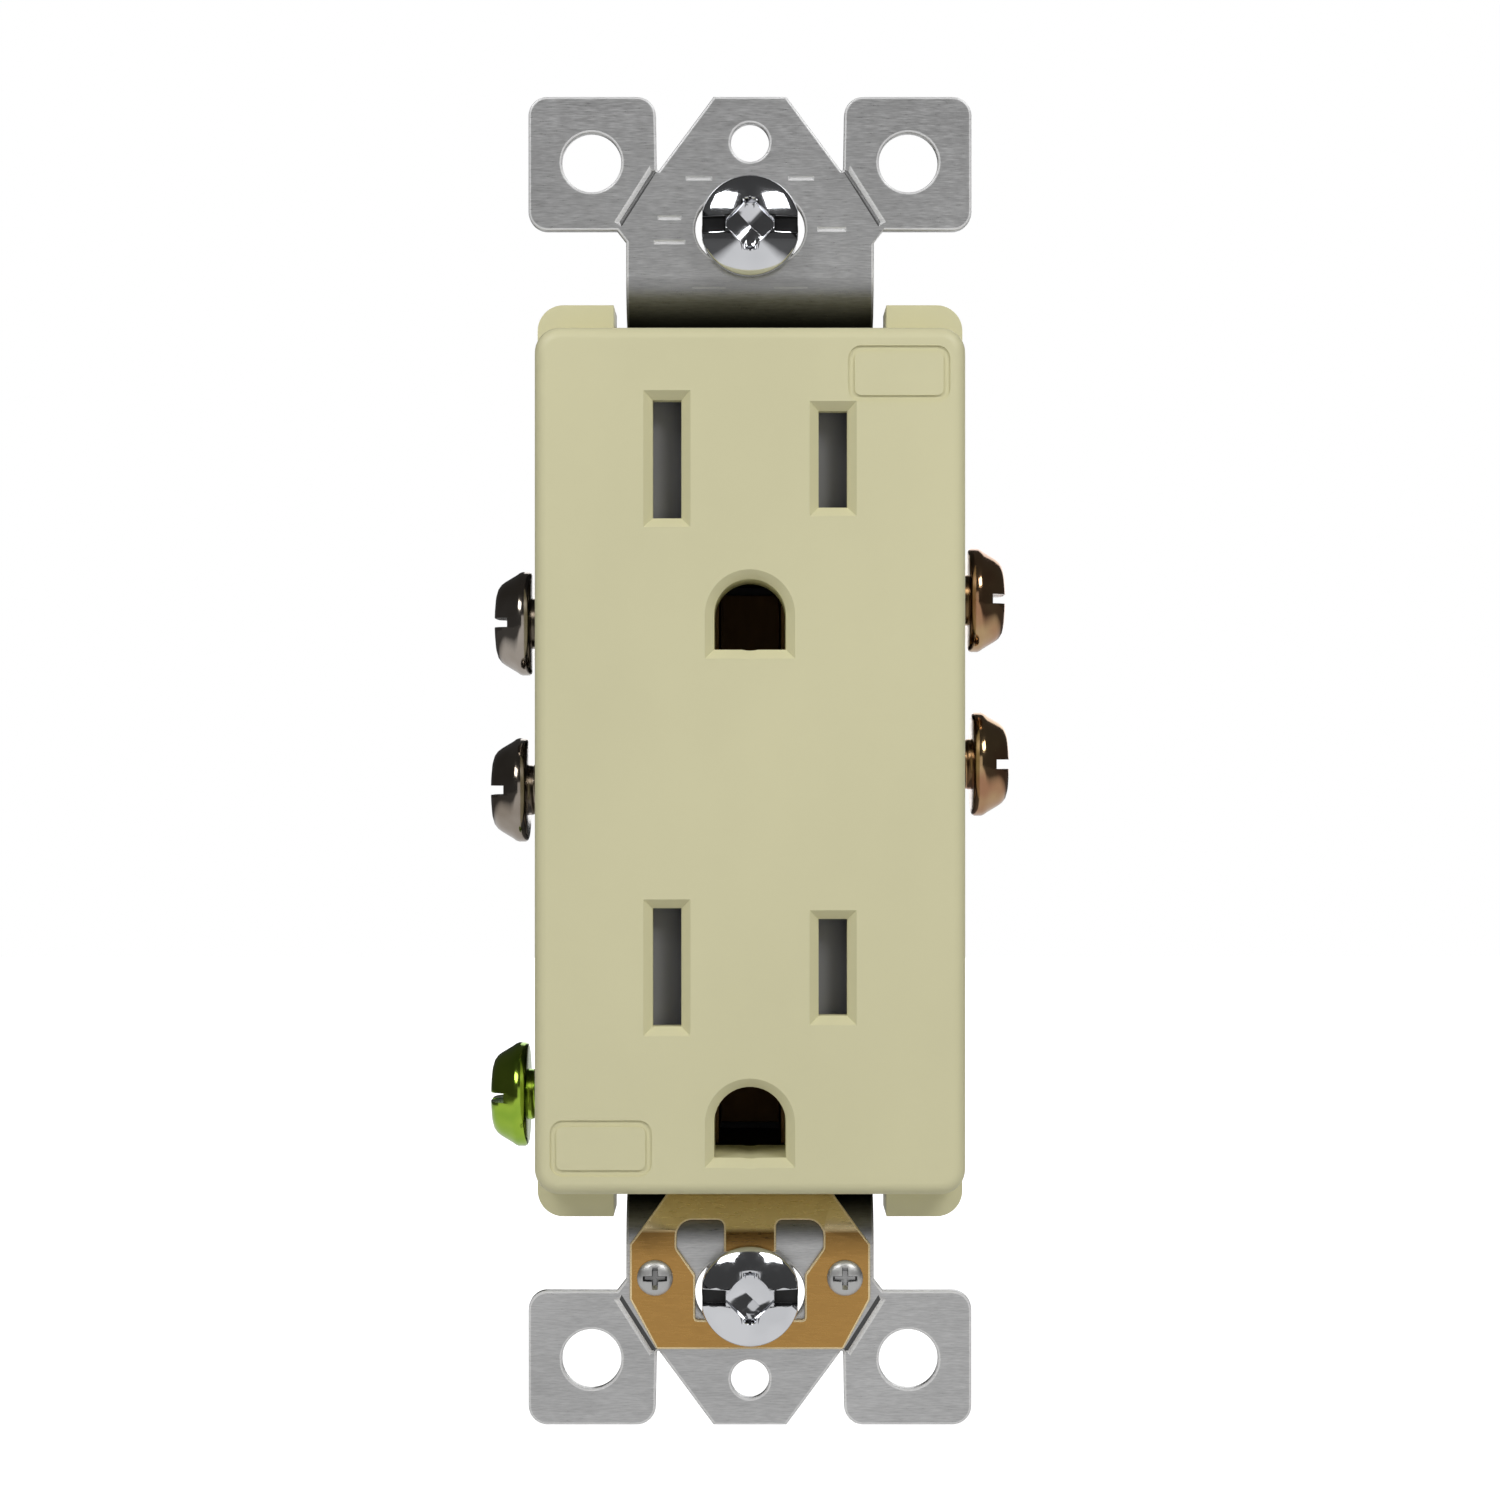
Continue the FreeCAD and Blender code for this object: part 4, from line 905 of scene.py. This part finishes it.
@dataclass
class Strap:
    """The galvanised strap with its ears, and the rivets behind the base."""

    edge: float = 0.2
    thick: float = 1.1
    score_top: Pair = (7.55, 46.4)
    score_foot: Pair = (10.35, 42.0)
    score_wide: float = 0.7
    score_deep: float = 0.21
    mark_half: float = 0.24
    mark_slope: float = 0.2
    mark_foot: float = 0.06
    mark_above: float = 0.06
    mark_deep: float = 0.12
    marks: tuple[Triple, ...] = (
        (-4.0, 45.6, 2.2), (4.0, 45.6, 2.2), (-6.3, 42.5, 2.0), (-6.3, 40.6, 2.6), (6.4, 41.6, 2.4),
        (-3.2, 37.0, 3.0), (3.2, 37.0, 3.0),
    )

    def score(self, piece: Piece, side: int, end: int) -> None:
        """Cut the break-off line of one ear.

        The cutter is a square bar on its corner, flattened, with slanted ends. Its
        wall on the ear's side takes a painted highlight colour and the other one a
        painted shade colour.

        Args:
            piece: The strap.
            side: 1 for right and -1 for left.
            end: 1 for the top and -1 for the bottom.
        """
        top = Vector((self.score_top[0] * side, 0.0, self.score_top[1] * end))
        foot = Vector((self.score_foot[0] * side, 0.0, self.score_foot[1] * end))
        run = (foot - top).normalized()
        long = (foot - top).length / 2
        half = self.score_wide / math.sqrt(8)
        cutter = cuboid((-long, long), (-half, half), (-half, half))
        flat = Matrix.Diagonal((1.0, 1.0, 2 * self.score_deep / self.score_wide, 1.0))
        settle(cutter, flat @ Matrix.Rotation(math.radians(45), 4, "X"))
        for corner in cutter.data.vertices:
            if corner.co.z < -0.9 * self.score_deep * MM:
                corner.co.x -= math.copysign(half * MM, corner.co.x)
        # One wall takes the painted highlight colour, the other the painted shade colour.
        coat(cutter, Finish.STRAP_EDGE_HIGHLIGHT, Finish.SCORE_SHADE)
        for wall in cutter.data.polygons:
            wall.material_index = int(wall.center.y * side * end < 0)
        out = Vector((0.0, -1.0, 0.0))
        settle(cutter, frame_of(run, out.cross(run), out, (top + foot) / 2 + out * self.thick))
        carve(piece, cutter)

    def stamp(self, piece: Piece, x: float, z: float, long: float) -> None:
        """Press one plain bar into the strap.

        Args:
            piece: The strap.
            x: Middle of the bar.
            z: Height of the bar.
            long: Its length.
        """
        foot = (long / 2 - self.mark_slope, self.mark_foot)
        bar = tapered((long / 2, self.mark_half), foot, self.mark_above, -self.mark_deep)
        # The bar's walls take the painted highlight colour.
        coat(bar, Finish.STRAP_EDGE_HIGHLIGHT)
        settle(bar, facing_front(x, -self.thick, z))
        carve(piece, bar)

    def build(self) -> None:
        """Make the strap and its back rivets."""
        piece = cad_copy("strap", "strap_sheet")
        # The strap's rounded edges take a painted highlight colour.
        wear_and_edge_highlight = (Finish.STRAP, Finish.STRAP_EDGE_HIGHLIGHT)
        coat(piece, *wear_and_edge_highlight)
        for side in (1, -1):
            for end in (1, -1):
                self.score(piece, side, end)
        for x, z, long in self.marks:
            self.stamp(piece, x, z, long)
        soften(piece, self.edge, 2, 65.0, clamp=False, wear_and_edge_highlight=wear_and_edge_highlight)
        dress(piece, Finish.STRAP, "zinc_steel", "housing", "strap")
        for row in Row:
            node = "back_rivet_" + row.value
            rounded_copy(node, node + "_head", 0.2, Finish.ZINC, "zinc_rivet", segments=3)


@dataclass
class Body:
    """The ivory cover, the dark base, the tray and the assembly screws."""

    cover_edge: float = 0.05
    base_edge: float = 0.25
    edge: float = 0.1
    badges: tuple[Pair, ...] = ((11.4, 29.6), (-11.4, -29.6))
    badge_wide: float = 7.8
    badge_tall: float = 4.3
    badge_round: float = 1.0
    badge_groove: float = 0.5
    badge_deep: float = 0.16

    def block(self, x: float, z: float, inset: float, depth: Pair) -> Piece:
        """A block that follows a badge's rounded outline.

        Args:
            x: Middle of the outline.
            z: Its height.
            inset: How far inside the outline the block stays.
            depth: Front and back of the block.

        Returns:
            The block.
        """
        half_x, half_z = self.badge_wide / 2, self.badge_tall / 2
        across = (x - half_x + inset, x + half_x - inset)
        upright = (z - half_z + inset, z + half_z - inset)
        box = cuboid(across, depth, upright)
        self.round_upright(box, self.badge_round - inset)
        return box

    def badge(self, piece: Piece, x: float, z: float) -> None:
        """Engrave a plain rounded outline into the face.

        Args:
            piece: The cover.
            x: Middle of the outline.
            z: Its height.
        """
        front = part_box("face_cover")[0][1] / MM
        outer = self.block(x, z, 0.0, (front - 1, front + self.badge_deep))
        inner = self.block(x, z, self.badge_groove, (front - 2, front + 1))
        carve(outer, inner)
        carve(piece, outer)

    def round_upright(self, box: Piece, radius: float) -> None:
        """Round the four edges of a box that run along Y.

        Args:
            box: The box.
            radius: The rounding in millimetres.
        """
        unpick(box, "EDGE")
        for edge in box.data.edges:
            first, second = (box.data.vertices[i].co for i in edge.vertices)
            edge.select = abs(first.y - second.y) > 1e-6
        bpy.ops.object.mode_set(mode="EDIT")
        bpy.ops.mesh.bevel(offset=radius * MM, segments=6, affect="EDGES")
        bpy.ops.object.mode_set(mode="OBJECT")

    def build(self) -> None:
        """Make the moulded pieces and their screws."""
        cover = cad_copy("face_cover", "cover_moulding")
        soften(cover, self.cover_edge, 2)
        for x, z in self.badges:
            self.badge(cover, x, z)
        smooth(cover)
        level(cover)
        dress(cover, Finish.IVORY, "ivory_plastic", "housing", "face_cover")
        rounded_copy("back_body", "base_moulding", self.base_edge, Finish.DARK, "dark_plastic")
        rounded_copy("shutter_tray", "tray_moulding", self.edge, Finish.TRAY, "tray_plastic")
        for row in Row:
            for side in ("left", "right"):
                node = f"assembly_screw_{row.value}_{side}"
                rounded_copy(node, node + "_head", self.edge, Finish.ZINC, "zinc_screw")


@dataclass
class GroundClip:
    """The brass clip over the lower end of the strap, with its two rivets."""

    edge: float = 0.16
    seat: float = -1.6
    radius: float = 1.4
    tall: float = 0.55
    mark_long: float = 1.12
    mark_wide: float = 0.26
    mark_deep: float = 0.38

    def profile(self) -> Rings:
        """Radius and height of a rivet's rings, from its folded end to its dome."""
        radius, tall = self.radius, self.tall
        shank = [(1.1, self.seat - 0.45), (1.3, self.seat - 0.35), (1.3, self.seat - 0.05)]
        shank += [(0.85, self.seat), (0.85, -0.001)]
        rim = [(radius - 0.1, 0.0), (radius, 0.08), (radius, tall - 0.4)]
        dome = [(radius - 0.1, tall - 0.25), (radius - 0.35, tall - 0.11), (radius - 0.7, tall)]
        return shank + rim + dome + [(radius - 1.05, tall + 0.06), (0.02, tall + 0.1)]

    def rivet(self, side: str) -> None:
        """Make one rivet with a cross pressed into its head.

        Args:
            side: left or right.
        """
        node = "clip_rivet_" + side
        middle = centre_of(node)
        piece = turned(node + "_head", self.profile(), 40)
        coat(piece, Finish.RIVET)
        sizes = (self.mark_long, self.mark_wide)
        for half_x, half_y in (sizes, sizes[::-1]):
            foot = (half_x * 0.7, half_y * 0.5)
            arm = tapered((half_x, half_y), foot, self.tall + 0.2, self.tall - self.mark_deep)
            # The cross recess takes a painted shade colour.
            coat(arm, Finish.RIVET_RECESS_SHADE)
            carve(piece, arm)
        soften(piece, 0.05, 2)
        settle(piece, facing_front(middle.x, self.seat, middle.z))
        dress(piece, Finish.RIVET, "rivet_steel", "housing", node)

    def build(self) -> None:
        """Make the clip and its rivets."""
        piece = cad_copy("ground_clip", "clip_sheet")
        # The clip's rounded edges take a painted highlight colour.
        soften(piece, self.edge, 2, 50.0, clamp=False, wear_and_edge_highlight=(Finish.BRASS, Finish.BRASS_EDGE_HIGHLIGHT))
        dress(piece, Finish.BRASS, "brass", "housing", "ground_clip")
        for side in ("left", "right"):
            self.rivet(side)


@dataclass
class BoxScrews:
    """The two chrome box screws with their combination recess, and their retainers."""

    seat: float = -1.75
    radius: float = 3.9
    tall: float = 2.2
    long: float = 25.4
    neck: float = 1.45
    neck_foot: float = -2.95
    thread: float = 1.75
    thread_deep: float = 0.4
    slot: float = 1.17
    slot_deep: float = 1.6
    cross_half: float = 2.4
    cross_deep: float = 0.9
    above: float = 1.0
    flat: float = 3.72
    crown: float = 8.0
    crown_rings: int = 7
    diamond: float = 2.1
    diamond_deep: float = 1.35
    pit_slope: float = 0.38

    def blank(self) -> Piece:
        """Turn one screw about the Z axis, with its head upwards and no recess.

        Returns:
            The screw.
        """
        thread = Thread(self.thread, self.thread_deep, 0.8 - self.long, self.neck_foot)
        rings = [(0.02, -self.long), (1.15, 0.05 - self.long), *thread.rings()]
        rings += [(self.neck, self.neck_foot + 0.25), (self.neck, -0.02)]
        brow = self.radius - 0.12
        rise = self.crown_height(brow)
        rings += [(self.radius - 0.22, 0.0), (self.radius - 0.06, 0.06), (self.radius, 0.2)]
        rings += [(self.radius, rise - 0.2), (self.radius - 0.03, rise - 0.08)]
        for i in range(self.crown_rings):
            wide = brow * (1 - i / self.crown_rings)
            rings.append((wide, self.crown_height(wide)))
        rings.append((0.02, self.tall))
        piece = turned("box_screw_pattern", rings, 64)
        thread.cut(piece)
        coat(piece, Finish.CHROME)
        flats = cuboid((-self.flat, self.flat), (-9, 9), (-self.long - 9, 9))
        carve(piece, flats, "INTERSECT")
        return piece

    def crown_height(self, radius: float) -> float:
        """Height of the head's crown over its seat.

        Args:
            radius: Distance from the screw's axis in millimetres.

        Returns:
            The height in millimetres.
        """
        return self.tall - self.crown + math.sqrt(self.crown**2 - radius**2)

    def pattern(self) -> Piece:
        """Model one screw with its slot, short cross and square pit.

        Returns:
            The screw.
        """
        piece = self.blank()
        half = self.slot / 2
        top, pit_top = self.tall + self.above, self.tall + 0.9
        foot = (half * 0.6, self.cross_half * 0.7)
        arm_foot = self.tall - self.cross_deep
        carve(piece, tapered((half, self.cross_half), foot, self.tall + 0.6, arm_foot))
        pit = turned("pit", [(self.diamond, self.tall - 2.0), (self.diamond, top)], 4)
        flare = (self.diamond_deep + 0.9) / self.pit_slope
        pit_foot = self.tall - self.diamond_deep
        carve(pit, tapered((flare, flare), (0.02, 0.02), pit_top, pit_foot), "INTERSECT")
        carve(piece, outward(pit))
        inner, outer = self.diamond - 0.2, self.radius + self.above
        for ends in ((inner, outer), (-outer, -inner)):
            cutter = cuboid(ends, (-half, half), (self.tall - self.slot_deep, top))
            # The slot walls take a painted shadow colour.
            coat(cutter, Finish.SHADOW)
            carve(piece, cutter)
        soften(piece, 0.08, 2, 32.0, clamp=False)
        return piece

    def build(self) -> None:
        """Place both screws and their washers."""
        pattern = self.pattern()
        for row in Row:
            node = "box_screw_" + row.value
            middle = centre_of(node)
            screw = duplicate(pattern, node + "_chromed")
            settle(screw, facing_front(0.0, self.seat, middle.z))
            dress(screw, Finish.CHROME, "chrome", node, node)
            washer, body = "screw_retainer_" + row.value, "retainer_" + row.value
            rounded_copy(washer, washer + "_fibre", 0.1, Finish.FIBRE, "fibre", body)
        bpy.data.objects.remove(pattern)


@dataclass
class Terminals:
    """The five terminal screws with their clamp plates."""

    long: float = 5.0
    tall: float = 3.0
    thread: float = 2.05
    thread_deep: float = 0.42
    head: tuple[Pair, ...] = (
        (2.05, -0.02), (3.9, 0.0), (4.1, 0.08), (4.2, 0.25), (4.2, 0.8), (4.12, 1.02), (3.95, 1.25),
        (3.5, 2.0), (3.38, 2.2), (3.15, 2.5), (2.8, 2.75), (2.3, 2.9), (1.6, 2.98), (0.02, 3.0),
    )
    arm_top: Pair = (2.2, 0.396)
    arm_foot: Pair = (0.55, 0.2)
    slot: float = 0.75
    slot_deep: float = 1.16
    names: dict[str, tuple[int, Finish, str]] = field(default_factory=lambda: {
        "line_upper": (1, Finish.COPPERY, "brass_screw"),
        "line_lower": (1, Finish.COPPERY, "brass_screw"),
        "neutral_upper": (-1, Finish.NICKEL, "nickel_screw"),
        "neutral_lower": (-1, Finish.NICKEL, "nickel_screw"),
        "ground": (-1, Finish.GREEN, "green_screw"),
    })

    def pattern(self) -> Piece:
        """Model one binding-head screw about the Z axis, with its head upwards.

        Returns:
            The screw.
        """
        thread = Thread(self.thread, self.thread_deep, 0.4 - self.long, -0.25)
        rings = [(0.02, -self.long), (1.5, 0.03 - self.long), *thread.rings(), *self.head]
        piece = turned("terminal_screw_pattern", rings, 56)
        thread.cut(piece)
        half = self.slot / 2
        carve(piece, cuboid((-6, 6), (-half, half), (self.tall - self.slot_deep, 4.0)))
        for turn in (1, -1):
            carve(piece, tapered(self.arm_top[::turn], self.arm_foot[::turn], 3.1, 1.0))
        soften(piece, 0.06, 2, 32.0)
        return piece

    def build(self) -> None:
        """Place the five screws and clamp plates."""
        pattern = self.pattern()
        for name, (side, finish, slot) in self.names.items():
            node = "terminal_screw_" + name
            low, high = (Vector(corner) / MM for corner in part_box(node))
            middle = (low + high) / 2
            seat = high.x - self.tall if side > 0 else low.x + self.tall
            screw = duplicate(pattern, node + "_plated")
            place = (seat, middle.y, middle.z)
            settle(screw, frame_of((0, 1, 0), (0, 0, side), (side, 0, 0), place))
            dress(screw, finish, slot, "screw_" + name, node)
            plate, body = "clamp_plate_" + name, "clamp_" + name
            rounded_copy(plate, plate + "_sheet", 0.12, Finish.CLAMP, "clamp_steel", body)
        bpy.data.objects.remove(pattern)


@dataclass
class Contacts:
    """The three buses inside the body."""

    edge: float = 0.08
    finishes: dict[str, tuple[Finish, str]] = field(default_factory=lambda: {
        "line_bus": (Finish.BUS, "brass"),
        "neutral_bus": (Finish.NICKEL_SHEET, "nickel_brass"),
        "ground_bus": (Finish.GROUND_BUS_SHADE, "brass"),
    })

    def build(self) -> None:
        """Make the buses."""
        for node, (finish, slot) in self.finishes.items():
            rounded_copy(node, node + "_sheet", self.edge, finish, slot)


@dataclass
class Shutters:
    """The grey shutters and their coil springs."""

    edge: float = 0.1
    wire: float = 0.16
    wire_sides: int = 10
    turns: int = 9
    turn_steps: int = 16

    def spring(self, row: Row) -> None:
        """Wind one coil spring.

        Args:
            row: The outlet it belongs to.
        """
        node = row.value + "_shutter_spring"
        low, high = (Vector(corner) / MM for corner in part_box(node))
        middle = (low + high) / 2
        long = high.x - low.x - 2 * self.wire
        coil = (high.y - low.y) / 2 - self.wire
        clear_selection()
        bpy.ops.mesh.primitive_circle_add(
            vertices=self.wire_sides, radius=self.wire * MM,
            rotation=(math.pi / 2, 0, 0), location=(coil * MM, 0, 0),
        )
        piece = settle(bpy.context.object)
        piece.name = node + "_coil"
        focus(piece)
        bpy.ops.object.modifier_add(type="SCREW")
        screw = piece.modifiers[-1]
        screw.axis = "Z"
        screw.angle = math.tau * self.turns
        screw.screw_offset = long * MM
        screw.steps = screw.render_steps = self.turn_steps * self.turns
        screw.use_merge_vertices = True
        apply_modifier(piece, screw.name)
        edit_all(piece)
        bpy.ops.mesh.select_mode(type="EDGE")
        bpy.ops.mesh.select_all(action="DESELECT")
        bpy.ops.mesh.select_non_manifold()
        bpy.ops.mesh.fill_holes(sides=0)
        bpy.ops.object.mode_set(mode="OBJECT")
        outward(piece)
        smooth(piece, 60.0)
        place = (low.x + self.wire, middle.y, middle.z)
        settle(piece, frame_of((0, 1, 0), (0, 0, 1), (1, 0, 0), place))
        dress(piece, Finish.SPRING, "spring_steel", "housing", node)
        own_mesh(piece)

    def build(self) -> None:
        """Make both shutters and springs."""
        for row in Row:
            node = row.value + "_shutter"
            name = node + "_moulding"
            rounded_copy(node, name, self.edge, Finish.SHUTTER, "shutter_plastic", node)
            self.spring(row)


# ---------------------------------------------------------------- studio


@dataclass(frozen=True)
class SoftLight:
    """A rectangular light that faces the device, in millimetres and watts."""

    name: str
    place: Triple
    size: Pair
    power: float

    def hang(self) -> None:
        """Hang the light in the scene."""
        data = bpy.data.lights.new(self.name, "AREA")
        data.shape = "RECTANGLE"
        data.size = self.size[0] * MM
        data.size_y = self.size[1] * MM
        data.energy = self.power
        light = bpy.data.objects.new(self.name, data)
        light.location = Vector(self.place) * MM
        light.rotation_euler = (-Vector(self.place)).to_track_quat("-Z", "Y").to_euler()
        bpy.context.collection.objects.link(light)


@dataclass
class Studio:
    """The pale floor, the soft lights and the camera."""

    distance: float = 260.0
    lens: float = 81.7
    sensor: float = 36.0
    eye: float = 0.84
    ambient: float = 0.2
    room_dark: float = 0.05
    floor_size: float = 1.2
    floor_gap: float = 0.0002
    floor_white: Triple = (0.75, 0.75, 0.75)
    gleam: Pair = (0.68, 0.07)
    gleam_range: Pair = (0.09, 0.16)
    lights: tuple[SoftLight, ...] = (
        SoftLight("front", (0, -620, -45), (280, 500), 0.25),
        SoftLight("left_box", (-320, -440, 430), (320, 210), 1.45),
        SoftLight("right_box", (320, -440, 430), (320, 210), 1.7),
        SoftLight("rear", (140, 620, 180), (420, 420), 0.8),
    )

    def floor(self) -> None:
        """Lay the pale floor, which bright metal sees as dark with a gleam in its middle."""
        clear_selection()
        height = CAD_BOX[0][2] - self.floor_gap
        bpy.ops.mesh.primitive_plane_add(size=self.floor_size, location=(0.0, 0.0, height))
        plane = settle(bpy.context.object)
        plane.name = "studio_floor"
        sheet = NodeSheet("studio_paper")
        sheet.drive("Roughness", 0.9)
        sheet.drive("Emission Color", (1.0, 1.0, 1.0))
        rays = sheet.add("LightPath").outputs
        glossy, camera = rays["Is Glossy Ray"], rays["Is Camera Ray"]
        sheet.drive("Base Color", sheet.mix(glossy, self.floor_white, (0.0, 0.0, 0.0)))
        aside = sheet.reckon("ABSOLUTE", sheet.axes()["X"])
        gleam = sheet.spread(aside, self.gleam, self.gleam_range)
        sheet.drive("Emission Strength", sheet.reckon("MULTIPLY_ADD", glossy, gleam, camera))
        plane.data.materials.append(sheet.material)

    def sky(self) -> None:
        """Surround the device with a room: white behind it, dark in bright metal."""
        world = bpy.data.worlds.new("studio_room")
        bpy.context.scene.world = world
        world.use_nodes = True
        tree = world.node_tree
        background = tree.nodes["Background"]
        path = tree.nodes.new("ShaderNodeLightPath")
        shown = background.outputs["Background"]
        background.inputs["Color"].default_value = (self.ambient, self.ambient, self.ambient, 1.0)
        for ray, level in (("Is Glossy Ray", self.room_dark), ("Is Camera Ray", 1.0)):
            layer = tree.nodes.new("ShaderNodeBackground")
            layer.inputs["Color"].default_value = (level, level, level, 1.0)
            mix = tree.nodes.new("ShaderNodeMixShader")
            tree.links.new(path.outputs[ray], mix.inputs["Fac"])
            tree.links.new(shown, mix.inputs[1])
            tree.links.new(layer.outputs["Background"], mix.inputs[2])
            shown = mix.outputs["Shader"]
        tree.links.new(shown, tree.nodes["World Output"].inputs["Surface"])

    def camera(self) -> None:
        """Set the camera straight in front of the face."""
        data = bpy.data.cameras.new("camera")
        data.lens = self.lens
        data.sensor_width = self.sensor
        data.clip_start = 0.01
        camera = bpy.data.objects.new("camera", data)
        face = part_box("face_cover")[0][1]
        camera.location = (0.0, face - self.distance * MM, self.eye * MM)
        camera.rotation_euler = (math.pi / 2, 0.0, 0.0)
        bpy.context.collection.objects.link(camera)
        bpy.context.scene.camera = camera

    def build(self) -> None:
        """Set up floor, room, lights and camera."""
        self.floor()
        self.sky()
        for light in self.lights:
            light.hang()
        self.camera()
        bpy.context.scene.view_settings.view_transform = "Standard"


def main() -> None:
    """Build every sub-assembly and the studio."""
    logging.basicConfig(level=logging.INFO)
    for part in (
        Strap(), Body(), GroundClip(), BoxScrews(), Terminals(), Contacts(), Shutters(), Studio()
    ):
        LOG.info("building %s", type(part).__name__)
        part.build()


if __name__ == "__main__":
    main()
